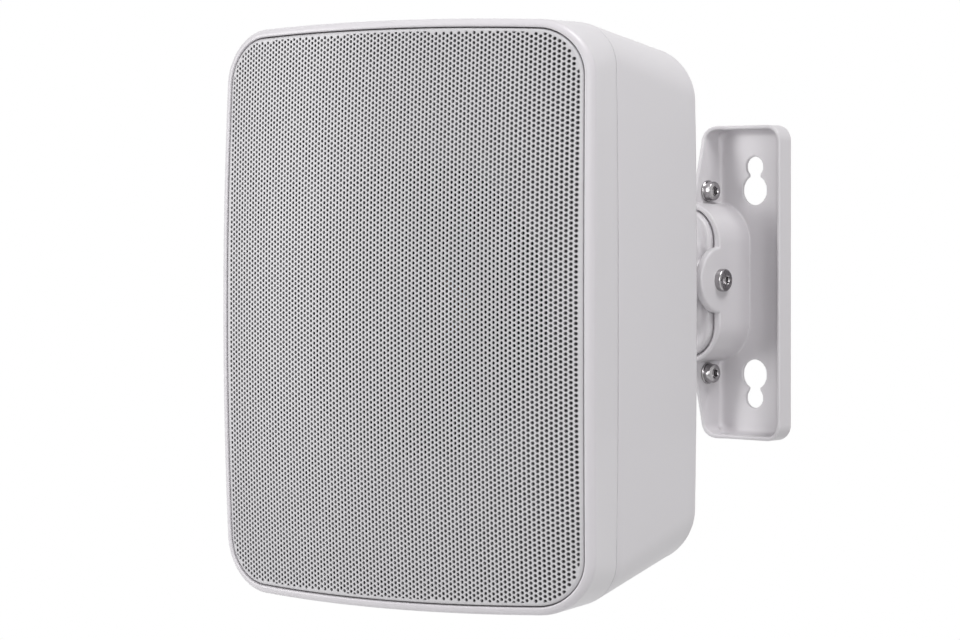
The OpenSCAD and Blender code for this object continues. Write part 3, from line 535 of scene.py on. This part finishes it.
def buildPerforation():
    tree = bpy.data.node_groups.new("perforatedSheet", "GeometryNodeTree")
    inputs = {}
    kinds = {"tile": "Object", "blank": "Object", "columns": "Int", "rows": "Int", "finish": "Material"}
    for name in (
        "tile", "blank", "columns", "rows", "pitchAcross", "pitchUp", "halfWidth", "halfHeight", "corner",
        "sideBulge", "topBulge", "bowAcross", "bowOver", "reach", "trim", "phase", "squeeze", "stretchFrom",
        "stretch", "side", "finish",
    ):
        inputs[name] = addSocket(tree, name, "INPUT", "NodeSocket" + kinds.get(name, "Float"))
    addSocket(tree, "Geometry", "OUTPUT", "NodeSocketGeometry")
    n, link = tree.nodes, tree.links
    given = n.new("NodeGroupInput")
    result = n.new("NodeGroupOutput")

    def math2(operation, *values):
        node = n.new("ShaderNodeMath")
        node.operation = operation
        for index, value in enumerate(values):
            if isinstance(value, (int, float)):
                node.inputs[index].default_value = value
            else:
                link.new(value, node.inputs[index])
        return node.outputs[0]

    g = given.outputs

    def sheetX(s):
        over = math2("MAXIMUM", math2("SUBTRACT", s, g["stretchFrom"]), 0.0)
        pulled = math2("MULTIPLY", math2("MULTIPLY", over, over), g["stretch"])
        return math2("ADD", math2("MULTIPLY", s, g["squeeze"]), pulled)

    def edgeDistance(x, z):
        zShare = math2("DIVIDE", z, g["halfHeight"])
        xShare = math2("DIVIDE", x, g["halfWidth"])
        drawnX = math2("MULTIPLY", g["sideBulge"], math2("MULTIPLY", zShare, zShare))
        drawnZ = math2("MULTIPLY", g["topBulge"], math2("MULTIPLY", xShare, xShare))
        limitX = math2("SUBTRACT", g["halfWidth"], drawnX)
        limitZ = math2("SUBTRACT", g["halfHeight"], drawnZ)
        qx = math2("ADD", math2("SUBTRACT", x, limitX), g["corner"])
        qz = math2("ADD", math2("SUBTRACT", z, limitZ), g["corner"])
        px = math2("MAXIMUM", qx, 0.0)
        pz = math2("MAXIMUM", qz, 0.0)
        outside = math2("SQRT", math2("ADD", math2("MULTIPLY", px, px), math2("MULTIPLY", pz, pz)))
        inside = math2("MINIMUM", math2("MAXIMUM", qx, qz), 0.0)
        return math2("SUBTRACT", math2("ADD", outside, inside), g["corner"]), px, pz, outside

    grid = n.new("GeometryNodeMeshGrid")
    columnsLess = math2("SUBTRACT", g["columns"], 1)
    rowsLess = math2("SUBTRACT", g["rows"], 1)
    link.new(math2("MULTIPLY", columnsLess, g["pitchAcross"]), grid.inputs["Size X"])
    link.new(math2("MULTIPLY", rowsLess, g["pitchUp"]), grid.inputs["Size Y"])
    link.new(g["columns"], grid.inputs["Vertices X"])
    link.new(g["rows"], grid.inputs["Vertices Y"])
    place = n.new("GeometryNodeInputPosition")
    split = n.new("ShaderNodeSeparateXYZ")
    link.new(place.outputs[0], split.inputs[0])
    column = math2("ROUND", math2("DIVIDE", split.outputs[0], g["pitchAcross"]))
    stagger = math2("MULTIPLY", math2("FLOORED_MODULO", column, 2.0), math2("MULTIPLY", g["pitchUp"], 0.5))
    join = n.new("ShaderNodeCombineXYZ")
    link.new(math2("ADD", split.outputs[0], g["phase"]), join.inputs[0])
    link.new(math2("ADD", split.outputs[1], stagger), join.inputs[2])
    lay = n.new("GeometryNodeSetPosition")
    link.new(grid.outputs["Mesh"], lay.inputs["Geometry"])
    link.new(join.outputs[0], lay.inputs["Position"])

    here = n.new("GeometryNodeInputPosition")
    part = n.new("ShaderNodeSeparateXYZ")
    link.new(here.outputs[0], part.inputs[0])
    arc = math2("DIVIDE", sheetX(part.outputs[0]), g["bowAcross"])
    x = math2("ABSOLUTE", math2("MULTIPLY", math2("SINE", arc), g["bowAcross"]))
    distance = edgeDistance(x, math2("ABSOLUTE", part.outputs[2]))[0]

    holesHere = math2("LESS_THAN", distance, 0.0)
    beyond = math2("GREATER_THAN", distance, 0.0)
    blankHere = math2("MULTIPLY", beyond, math2("LESS_THAN", distance, g["reach"]))
    wrongSide = math2("MULTIPLY", part.outputs[0], g["side"])
    keepSide = math2("GREATER_THAN", wrongSide, -0.0000001)

    def scatter(source, selection):
        info = n.new("GeometryNodeObjectInfo")
        link.new(source, info.inputs["Object"])
        put = n.new("GeometryNodeInstanceOnPoints")
        link.new(lay.outputs[0], put.inputs["Points"])
        link.new(selection, put.inputs["Selection"])
        link.new(info.outputs["Geometry"], put.inputs["Instance"])
        return put.outputs[0]

    both = n.new("GeometryNodeJoinGeometry")
    link.new(scatter(g["tile"], math2("MULTIPLY", holesHere, keepSide)), both.inputs[0])
    link.new(scatter(g["blank"], math2("MULTIPLY", blankHere, keepSide)), both.inputs[0])
    real = n.new("GeometryNodeRealizeInstances")
    link.new(both.outputs[0], real.inputs[0])
    spot = n.new("GeometryNodeInputPosition")
    spotPart = n.new("ShaderNodeSeparateXYZ")
    link.new(spot.outputs[0], spotPart.inputs[0])
    spotArc = math2("DIVIDE", sheetX(spotPart.outputs[0]), g["bowAcross"])
    freeX = math2("MULTIPLY", math2("SINE", spotArc), g["bowAcross"])
    away, px, pz, reachOut = edgeDistance(math2("ABSOLUTE", freeX), math2("ABSOLUTE", spotPart.outputs[2]))
    over = math2("MAXIMUM", math2("SUBTRACT", away, g["trim"]), 0.0)
    excess = math2("DIVIDE", over, math2("MAXIMUM", reachOut, 0.0001))
    bentX = math2("SUBTRACT", freeX, math2("MULTIPLY", math2("MULTIPLY", excess, px), math2("SIGN", freeX)))
    pullZ = math2("MULTIPLY", math2("MULTIPLY", excess, pz), math2("SIGN", spotPart.outputs[2]))
    bentZ = math2("SUBTRACT", spotPart.outputs[2], pullZ)
    acrossBow = math2("DIVIDE", math2("MULTIPLY", bentX, bentX), math2("MULTIPLY", g["bowAcross"], 2.0))
    overBow = math2("DIVIDE", math2("MULTIPLY", bentZ, bentZ), math2("MULTIPLY", g["bowOver"], 2.0))
    bentY = math2("ADD", spotPart.outputs[1], math2("ADD", acrossBow, overBow))
    bent = n.new("ShaderNodeCombineXYZ")
    link.new(bentX, bent.inputs[0])
    link.new(bentY, bent.inputs[1])
    link.new(bentZ, bent.inputs[2])
    curve = n.new("GeometryNodeSetPosition")
    link.new(real.outputs[0], curve.inputs["Geometry"])
    link.new(bent.outputs[0], curve.inputs["Position"])
    weld = n.new("GeometryNodeMergeByDistance")
    link.new(curve.outputs[0], weld.inputs["Geometry"])
    weld.inputs["Distance"].default_value = 0.00002
    paint = n.new("GeometryNodeSetMaterial")
    link.new(weld.outputs[0], paint.inputs["Geometry"])
    link.new(g["finish"], paint.inputs["Material"])
    link.new(paint.outputs[0], result.inputs[0])
    return tree, {name: socket.identifier for name, socket in inputs.items()}


def perforate(name, tree, keys, tile, blank, side):
    holder = bpy.data.objects.new(name + "Holder", bpy.data.meshes.new(name + "Holder"))
    bpy.context.collection.objects.link(holder)
    step = holder.modifiers.new("sheet", "NODES")
    step.node_group = tree
    y = cabinet["lipRadius"]
    inset = grilleInset + grille["inset"]
    trim = grille["inset"] - grille["fold"]
    c, g = cabinet, grille
    lengths = dict(
        pitchAcross=g["pitchAcross"], pitchUp=g["pitchUp"], phase=g["phase"], stretchFrom=g["stretchFrom"],
        halfWidth=halfWidth(y) - inset, halfHeight=halfHeight(y) - inset, corner=cornerAt(y) - inset,
        sideBulge=c["sideBulge"], topBulge=c["topBulge"], bowAcross=c["bowAcross"], bowOver=c["bowOver"],
        reach=trim + g["blankBand"], trim=trim,
    )
    values = {key: length * mm for key, length in lengths.items()}
    values.update(tile=tile, blank=blank, columns=g["columns"], rows=g["rows"], squeeze=g["squeeze"])
    values.update(stretch=g["stretch"], side=side, finish=sheetPaint)
    for key, value in values.items():
        step[keys[key]] = value
    bpy.context.view_layer.update()
    mesh = bpy.data.meshes.new_from_object(holder.evaluated_get(bpy.context.evaluated_depsgraph_get()))
    mesh.name = name
    bpy.data.objects.remove(holder, do_unlink=True)
    mesh.transform(inMetres(cabinetPlace))
    mesh.shade_smooth()
    mesh.set_sharp_from_angle(angle=math.radians(40))
    return showMesh(name, mesh)


standFor(buildGrilleRim(), "cabinet", "grille")
sheetTree, sheetKeys = buildPerforation()
holedTile, blankTile, wallTile = grilleTiles()
grilleParts = []
for label, side in (("Left", -1.0), ("Right", 1.0)):
    grilleParts.append(perforate("grilleFace" + label, sheetTree, sheetKeys, holedTile, blankTile, side))
    grilleParts.append(perforate("grilleHoles" + label, sheetTree, sheetKeys, wallTile, None, side))
for thing in grilleParts:
    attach(thing, "cabinet")
for tile in (holedTile, blankTile, wallTile):
    bpy.data.objects.remove(tile, do_unlink=True)
print("grille built", [len(p.data.polygons) for p in grilleParts])

# castings from distance fields, x across, n off the wall, z up


def smoothUnion(a, b, r):
    h = np.clip(0.5 + 0.5 * (b - a) / r, 0, 1)
    return b + (a - b) * h - r * h * (1 - h)


def roundedBox2(u, v, a, b, r):
    qu, qv = np.abs(u) - a + r, np.abs(v) - b + r
    return np.hypot(np.maximum(qu, 0), np.maximum(qv, 0)) + np.minimum(np.maximum(qu, qv), 0) - r


def slab(d, low, high, v, r):
    e = np.abs(v - (low + high) / 2) - (high - low) / 2
    near = np.minimum(np.maximum(d + r, e + r), 0)
    return near + np.hypot(np.maximum(d + r, 0), np.maximum(e + r, 0)) - r


def obround(u, v, a, b):
    return roundedBox2(u, v, a, b, a)


def surfaceNets(field, low, high, step):
    axes = [np.arange(a, b + step, step) for a, b in zip(low, high)]
    depth = field(*np.meshgrid(*axes, indexing="ij")).astype(np.float32)
    inside = depth < 0
    shape = depth.shape
    cells = tuple(s - 1 for s in shape)
    total = np.zeros(cells + (3,), np.float32)
    count = np.zeros(cells, np.int16)
    corner = [(i, j, k) for i in (0, 1) for j in (0, 1) for k in (0, 1)]

    def view(array, offset):
        return array[tuple(slice(o, o + c) for o, c in zip(offset, cells))]

    for axis in range(3):
        for offset in corner:
            if offset[axis]:
                continue
            other = tuple(o + (1 if i == axis else 0) for i, o in enumerate(offset))
            fa, fb = view(depth, offset), view(depth, other)
            cross = view(inside, offset) != view(inside, other)
            t = np.where(cross, fa / np.where(fa - fb == 0, 1, fa - fb), 0)
            for i in range(3):
                total[..., i] += np.where(cross, offset[i] + (t if i == axis else 0), 0)
            count += cross
    used = count > 0
    index = np.full(cells, -1, np.int64)
    index[used] = np.arange(used.sum())
    base = np.argwhere(used)
    points = (base + total[used] / count[used][:, None]) * step + np.array([a[0] for a in axes])
    quads = []
    for axis in range(3):
        u, v = [i for i in range(3) if i != axis]
        first = [slice(1, s - 1) for s in shape]
        second = list(first)
        first[axis] = slice(0, shape[axis] - 1)
        second[axis] = slice(1, shape[axis])
        a, b = inside[tuple(first)], inside[tuple(second)]
        spots = np.argwhere(a != b)
        starts = a[tuple(spots.T)]
        spots = spots + np.array([0 if i == axis else 1 for i in range(3)])

        def cell(du, dv):
            s = spots.copy()
            s[:, u] -= du
            s[:, v] -= dv
            return index[tuple(s.T)]

        quad = np.stack([cell(0, 0), cell(1, 0), cell(1, 1), cell(0, 1)], 1)
        flip = starts if axis != 1 else ~starts
        quad[flip] = quad[flip][:, ::-1]
        quads.append(quad)
    return points, np.concatenate(quads)


smoothing = dict(rounds=3, pull=0.5, back=-0.52)


def relax(points, quads):
    pairs = np.concatenate([quads[:, [0, 1]], quads[:, [1, 2]], quads[:, [2, 3]], quads[:, [3, 0]]])
    pairs = np.unique(np.sort(pairs, 1), axis=0)
    for amount in [smoothing["pull"], smoothing["back"]] * smoothing["rounds"]:
        total = np.zeros_like(points)
        number = np.zeros(len(points))
        for a, b in ((0, 1), (1, 0)):
            for i in range(3):
                total[:, i] += np.bincount(pairs[:, a], points[pairs[:, b], i], len(points))
            number += np.bincount(pairs[:, a], minlength=len(points))
        points = points + amount * (total / number[:, None] - points)
    return points


def castObject(name, field, low, high, step, mirrored=False):
    points, quads = surfaceNets(field, low, high, step)
    points = relax(points, quads)
    points = np.stack([points[:, 0], -points[:, 1], points[:, 2]], 1)
    if mirrored:
        points[:, 0] *= -1
    mesh = bpy.data.meshes.new(name)
    mesh.from_pydata((points * mm).tolist(), [], quads.tolist())
    form = bmesh.new()
    form.from_mesh(mesh)
    bmesh.ops.recalc_face_normals(form, faces=form.faces)
    form.to_mesh(mesh)
    form.free()
    mesh.shade_smooth()
    mesh.materials.append(castPaint)
    print(name, len(mesh.polygons))
    return showMesh(name, mesh)


bracket = dict(
    height=176.8,
    width=49.9,
    rimDepth=11.6,
    rampEnd=16.0,
    rampRise=5.5,
    rampFrom=60.0,
    rampRun=15.0,
    floor=2.2,
    floorRound=3.5,
    rim=2.2,
    corner=9.0,
    hubWidth=22.9,
    hubHeight=45.0,
    hubWall=4.6,
    hubEnd=2.8,
    hubDepth=30.8,
    hubEdge=1.2,
    tiltOff=29.4,
    tiltZ=1.7,
    tiltHole=4.05,
    earRadius=18.5,
    joinZ=51.6,
    joinOff=14.4,
    joinHole=3.05,
    joinDepth=6.0,
    keyX=26.1,
    keyZ=65.2,
    keyRadius=5.8,
    keyWide=8.4,
    keyNeck=4.0,
    keyRun=13.2,
    flangeSteps=(13.5, 9.5, 5.9, 2.5),
    flangeDrops=(23.0, 9.5, 2.0),
    leftCut=20.5,
    leftStep=3.5,
    leftDrop=3.0,
    leftKeep=9.0,
    fillet=0.5,
    edge=0.5,
)
halfBox = ((-1.5, -1.5, -90), (51.5, 49.5, 90))


def halfCasting(drop, cutBack):
    b = bracket
    top, half = b["height"] / 2, b["width"] / 2
    inWidth, inHeight = b["hubWidth"] - b["hubWall"], b["hubHeight"] - b["hubEnd"]

    def plate(across, off, up, outer):
        inner = roundedBox2(across - half, up, half - b["rim"], top - b["rim"], b["corner"] - b["rim"])
        climb = np.clip((b["rampEnd"] - across) / b["rampEnd"], 0, 1)
        ends = np.clip((np.abs(up) - b["rampFrom"]) / b["rampRun"], 0, 1)
        rise = (b["rampRise"] - drop) * climb * climb * (3 - 2 * climb) * ends
        tray = slab(outer, 0, b["rimDepth"], off - rise * (off > 4), b["edge"])
        return np.maximum(tray, -slab(inner, b["floor"], 60, off, b["floorRound"]))

    def centreFlange(across, off, up, outer):
        heights = [0, b["hubHeight"] - 5, b["joinZ"], *(top - k for k in b["flangeDrops"])]
        steps = [b["hubDepth"], b["hubDepth"], *(b["rimDepth"] - drop + k for k in b["flangeSteps"])]
        flange = slab((off - np.interp(np.abs(up), heights, steps)) * 0.9, 0, b["rim"], across, b["edge"])
        return np.maximum(np.maximum(flange, outer), -off)

    def hubWithEar(across, off, up, hollow):
        outside = obround(across, up, b["hubWidth"], b["hubHeight"])
        hub = slab(np.maximum(outside, -hollow), -2, b["hubDepth"], off, b["hubEdge"])
        tiltUp = up - b["tiltZ"]
        foot = np.maximum(np.abs(tiltUp) - b["earRadius"], off - b["tiltOff"])
        ear = np.minimum(np.hypot(off - b["tiltOff"], tiltUp) - b["earRadius"], foot)
        return np.minimum(hub, slab(ear, inWidth, b["hubWidth"], across, b["hubEdge"]))

    def keyhole(across, up, sign):
        dx, z, run = across - b["keyX"], sign * b["keyZ"], sign * b["keyRun"]
        small = np.hypot(dx, up - z) - b["keyRadius"]
        wide = np.hypot(dx, up - (z - run)) - b["keyWide"]
        neck = np.maximum(np.abs(dx) - b["keyNeck"], np.abs(up - (z - run / 2)) - b["keyRun"] / 2)
        return np.minimum(np.minimum(small, wide), neck)

    def field(across, off, up):
        outer = roundedBox2(across - half, up, half, top, b["corner"])
        hollow = obround(across, up, inWidth, inHeight)
        body = smoothUnion(plate(across, off, up, outer), centreFlange(across, off, up, outer), 1.0)
        body = smoothUnion(body, hubWithEar(across, off, up, hollow), b["fillet"])
        body = np.maximum(body, -hollow)
        body = np.maximum(body, np.maximum(-across, -off))
        for sign in (-1, 1):
            body = np.maximum(body, -keyhole(across, up, sign))
            bolt = np.hypot(off - b["joinOff"], up - sign * b["joinZ"]) - b["joinHole"]
            body = np.maximum(body, -np.maximum(bolt, across - b["joinDepth"]))
        body = np.maximum(body, -(np.hypot(off - b["tiltOff"], up - b["tiltZ"]) - b["tiltHole"]))
        if cutBack:
            start = b["joinZ"] + b["leftKeep"]
            edgeX = b["leftCut"] - b["leftStep"] * np.clip((start + 12 - np.abs(up)) / 6, 0, 1)
            body = np.maximum(body, -np.maximum(across - edgeX, start - np.abs(up)))
        return body

    return field


castRight = castObject("bracketRight", halfCasting(0, False), *halfBox, 0.6)
standFor(castRight, "wall_bracket", "bracket_half_right")
castLeft = castObject("bracketLeft", halfCasting(bracket["leftDrop"], True), *halfBox, 0.9, mirrored=True)
standFor(castLeft, "wall_bracket", "bracket_half_left")
print("castings built")

# arm

arm = dict(
    faceWidth=17.5,
    faceHeight=41.4,
    faceRound=1.8,
    low=-4.0,
    high=5.0,
    bossRadius=11.0,
    bossHalf=16.95,
    recess=10.3,
    neckHalf=11.0,
    neckRound=3.0,
    neckReach=26.0,
    neckWaist=8.0,
    neckTaper=4.0,
    panRadius=13.0,
    panHalf=18.0,
    panHole=5.05,
    panOff=102.0,
    panZone=15.0,
)


def armField(across, off, up):
    a = arm
    n = off - bracket["tiltOff"]
    tiltUp = up - bracket["tiltZ"]
    knuckle = obround(across, up, a["faceWidth"], a["faceHeight"])
    face = slab(knuckle, a["low"], a["high"], n, a["faceRound"])
    boss = slab(np.hypot(n, tiltUp) - a["bossRadius"], -a["bossHalf"], a["bossHalf"], across, 0.6)
    along = np.clip((n - 4) / 12, 0, 1)
    further = np.clip((n - 16) / 37, 0, 1)
    half = a["neckReach"] - a["neckWaist"] * along - a["neckTaper"] * further
    neck = np.maximum((np.abs(up) - half) * 0.85, np.maximum(4 - n, off - a["panOff"]))
    neck = slab(neck, -a["neckHalf"], a["neckHalf"], across, a["neckRound"])
    panTube = np.hypot(across, off - a["panOff"])
    pan = slab(panTube - a["panRadius"], -a["panHalf"], a["panHalf"], up, 1.0)
    body = smoothUnion(smoothUnion(face, boss, 2.0), neck, 6.0)
    body = np.maximum(body, np.abs(across) - a["faceWidth"])
    body = smoothUnion(body, pan, 4.0)
    body = np.maximum(body, np.where(n < 4, knuckle, -1e9))
    body = np.maximum(body, np.abs(up) - np.where(off > a["panOff"] - a["panZone"], a["panHalf"], 1e9))
    body = np.maximum(body, -(panTube - a["panHole"]))
    body = np.maximum(body, -np.maximum(np.hypot(n, tiltUp) - a["recess"], a["bossHalf"] - np.abs(across)))
    return np.maximum(body, -(np.hypot(n, tiltUp) - bracket["tiltHole"]))


armCast = castObject("tiltArm", armField, (-19, 15, -43), (19, 118, 43), 0.85)
standFor(armCast, "arm", "tilt_arm")

# visible screws and washers, local +x out of the head


turn = np.linspace(0, 2 * np.pi, 60, endpoint=False)


def turned(rows):
    return [np.stack([np.full(len(turn), x), r * np.cos(turn), r * np.sin(turn)], 1) for x, r in rows]


def screwHead(radius, height, keyRadius, shank, shankRadius):
    sector = (turn + math.pi / 6) % (math.pi / 3) - math.pi / 6
    hexagon = keyRadius * math.cos(math.pi / 6) / np.cos(sector)
    e = 0.14 * radius
    rows = [(-shank, shankRadius), (0, shankRadius)]
    rows += [(height * k, radius) for k in screws["sideRings"]]
    rows += [(height - e + e * math.sin(t), radius - e + e * math.cos(t)) for t in quarter(0, 90, 6)]
    rows.append((height, np.maximum(hexagon * 1.04, keyRadius * 1.02)))
    rows += [(height - 0.35, hexagon), (height * 0.35, hexagon), (height * 0.18, hexagon * 0.2)]
    return loft(turned(rows))


def washer(radius, hole, thickness):
    e = 0.25
    rows = [(0, hole), (0, radius - e), (e, radius)]
    rows += [(thickness - e, radius), (thickness, radius - e), (thickness, hole)]
    return loft(turned(rows), closed=True)


def combine(parts):
    points, faces, start = [], [], 0
    for (p, f), at in parts:
        points.append(np.asarray(p) + np.asarray(at))
        faces += [tuple(i + start for i in face) for face in f]
        start += len(p)
    return np.concatenate(points), faces


screws = dict(
    sideRings=(0, 0.22, 0.26),
    joinHead=5.3,
    joinHeight=4.3,
    joinKey=2.9,
    joinShank=13.8,
    joinRadius=3.0,
    joinWasher=6.1,
    washerThickness=1.2,
    tiltHead=6.3,
    tiltHeight=3.4,
    tiltKey=3.0,
    tiltShank=53.0,
    tiltRadius=4.0,
)
s, b = screws, bracket
joinHead = screwHead(s["joinHead"], s["joinHeight"], s["joinKey"], s["joinShank"], s["joinRadius"])
joinX = b["rim"] + s["washerThickness"]
joinParts = [(joinHead, (joinX, -b["joinOff"], z)) for z in (-b["joinZ"], b["joinZ"])]
joinScrews = meshObject("joiningScrews", *combine(joinParts), steel, sharp=38)
standFor(joinScrews, "wall_bracket", "joining_screws")
joinWasher = washer(s["joinWasher"], b["joinHole"], s["washerThickness"])
washerParts = [
    (joinWasher, (x, -b["joinOff"], z))
    for z in (-b["joinZ"], b["joinZ"])
    for x in (b["rim"], -b["rim"] - s["washerThickness"])
]
joinWashers = meshObject("joiningWashers", *combine(washerParts), steel, sharp=38)
standFor(joinWashers, "wall_bracket", "joining_washers")
tiltHead = screwHead(s["tiltHead"], s["tiltHeight"], s["tiltKey"], s["tiltShank"], s["tiltRadius"])
tiltParts = [(tiltHead, (b["hubWidth"], -b["tiltOff"], b["tiltZ"]))]
tiltBolt = meshObject("tiltBolt", *combine(tiltParts), steel, sharp=38)
standFor(tiltBolt, "wall_bracket", "tilt_bolt")
print("screws built")

# floor, world, lamps, camera


def showWhite(tree, shader):
    n, link = tree.nodes, tree.links
    path = n.new("ShaderNodeLightPath")
    seen = n.new("ShaderNodeMath")
    seen.operation = "MAXIMUM"
    link.new(path.outputs["Is Camera Ray"], seen.inputs[0])
    link.new(path.outputs["Is Transmission Ray"], seen.inputs[1])
    mirrored = n.new("ShaderNodeMath")
    mirrored.operation = "MAXIMUM"
    link.new(seen.outputs[0], mirrored.inputs[0])
    link.new(path.outputs["Is Glossy Ray"], mirrored.inputs[1])
    white = n.new("ShaderNodeEmission" if shader.type != "BACKGROUND" else "ShaderNodeBackground")
    white.inputs["Color"].default_value = (1, 1, 1, 1)
    white.inputs["Strength"].default_value = 1.0
    mix = n.new("ShaderNodeMixShader")
    link.new(mirrored.outputs[0], mix.inputs[0])
    link.new(shader.outputs[0], mix.inputs[1])
    link.new(white.outputs[0], mix.inputs[2])
    return mix.outputs[0]


floorMaterial = bpy.data.materials.new("paleFloor")
floorMaterial.use_nodes = True
floorNodes = floorMaterial.node_tree.nodes
floorNodes["Principled BSDF"].inputs["Base Color"].default_value = (0.8, 0.8, 0.8, 1)
floorNodes["Principled BSDF"].inputs["Roughness"].default_value = 0.9
floorLook = showWhite(floorMaterial.node_tree, floorNodes["Principled BSDF"])
floorMaterial.node_tree.links.new(floorLook, floorNodes["Material Output"].inputs["Surface"])
stage = dict(floorHalf=6.0, floorDrop=0.75, world=0.16)
a, z = stage["floorHalf"], -stage["floorDrop"]
floorMesh = bpy.data.meshes.new("floor")
floorMesh.from_pydata([(-a, -a, z), (a, -a, z), (a, a, z), (-a, a, z)], [], [(0, 1, 2, 3)])
floorMesh.materials.append(floorMaterial)
showMesh("floor", floorMesh)

world = bpy.data.worlds.new("studio")
bpy.context.scene.world = world
world.use_nodes = True
sky = world.node_tree.nodes["Background"]
sky.inputs["Color"].default_value = (1.0, 0.995, 1.0, 1)
sky.inputs["Strength"].default_value = stage["world"]
worldLook = showWhite(world.node_tree, sky)
world.node_tree.links.new(worldLook, world.node_tree.nodes["World Output"].inputs["Surface"])


def softLamp(name, place, target, size, power):
    data = bpy.data.lights.new(name, "AREA")
    data.shape = "RECTANGLE"
    data.size, data.size_y = size
    data.energy = power
    lamp = bpy.data.objects.new(name, data)
    lamp.location = place
    lamp.rotation_euler = (Vector(target) - Vector(place)).to_track_quat("-Z", "Y").to_euler()
    bpy.context.collection.objects.link(lamp)


softLamp("keyLamp", (-0.9, -2.2, 1.6), (0, -0.2, 0), (1.4, 1.4), 9)
softLamp("leftLamp", (-1.5, -2.0, 0.3), (0, -0.2, 0), (1.0, 1.4), 29)
softLamp("frontLamp", (1.7, -2.1, 0.35), (0.03, -0.1, 0), (0.4, 1.2), 10)
softLamp("slantLamp", (2.1, -1.15, 0.5), (0.03, -0.1, 0), (0.5, 0.9), 8.5)
softLamp("topLamp", (1.0, -0.25, 1.6), (0, -0.1, 0), (0.8, 0.8), 22)

camera = dict(place=(0.9562, -1.3058, 0.0408), azimuth=41.06, pitch=-0.25, lens=105.85, shift=-0.1017)
cameraData = bpy.data.cameras.new("camera")
cameraData.lens = camera["lens"]
cameraData.sensor_width = 36
cameraData.shift_y = camera["shift"]
cameraData.clip_start = 0.05
cameraObject = bpy.data.objects.new("camera", cameraData)
cameraObject.location = camera["place"]
cameraObject.rotation_euler = (math.radians(90 + camera["pitch"]), 0, math.radians(camera["azimuth"]))
bpy.context.collection.objects.link(cameraObject)
bpy.context.scene.camera = cameraObject
bpy.context.scene.view_settings.view_transform = "Standard"
print("stage ready")
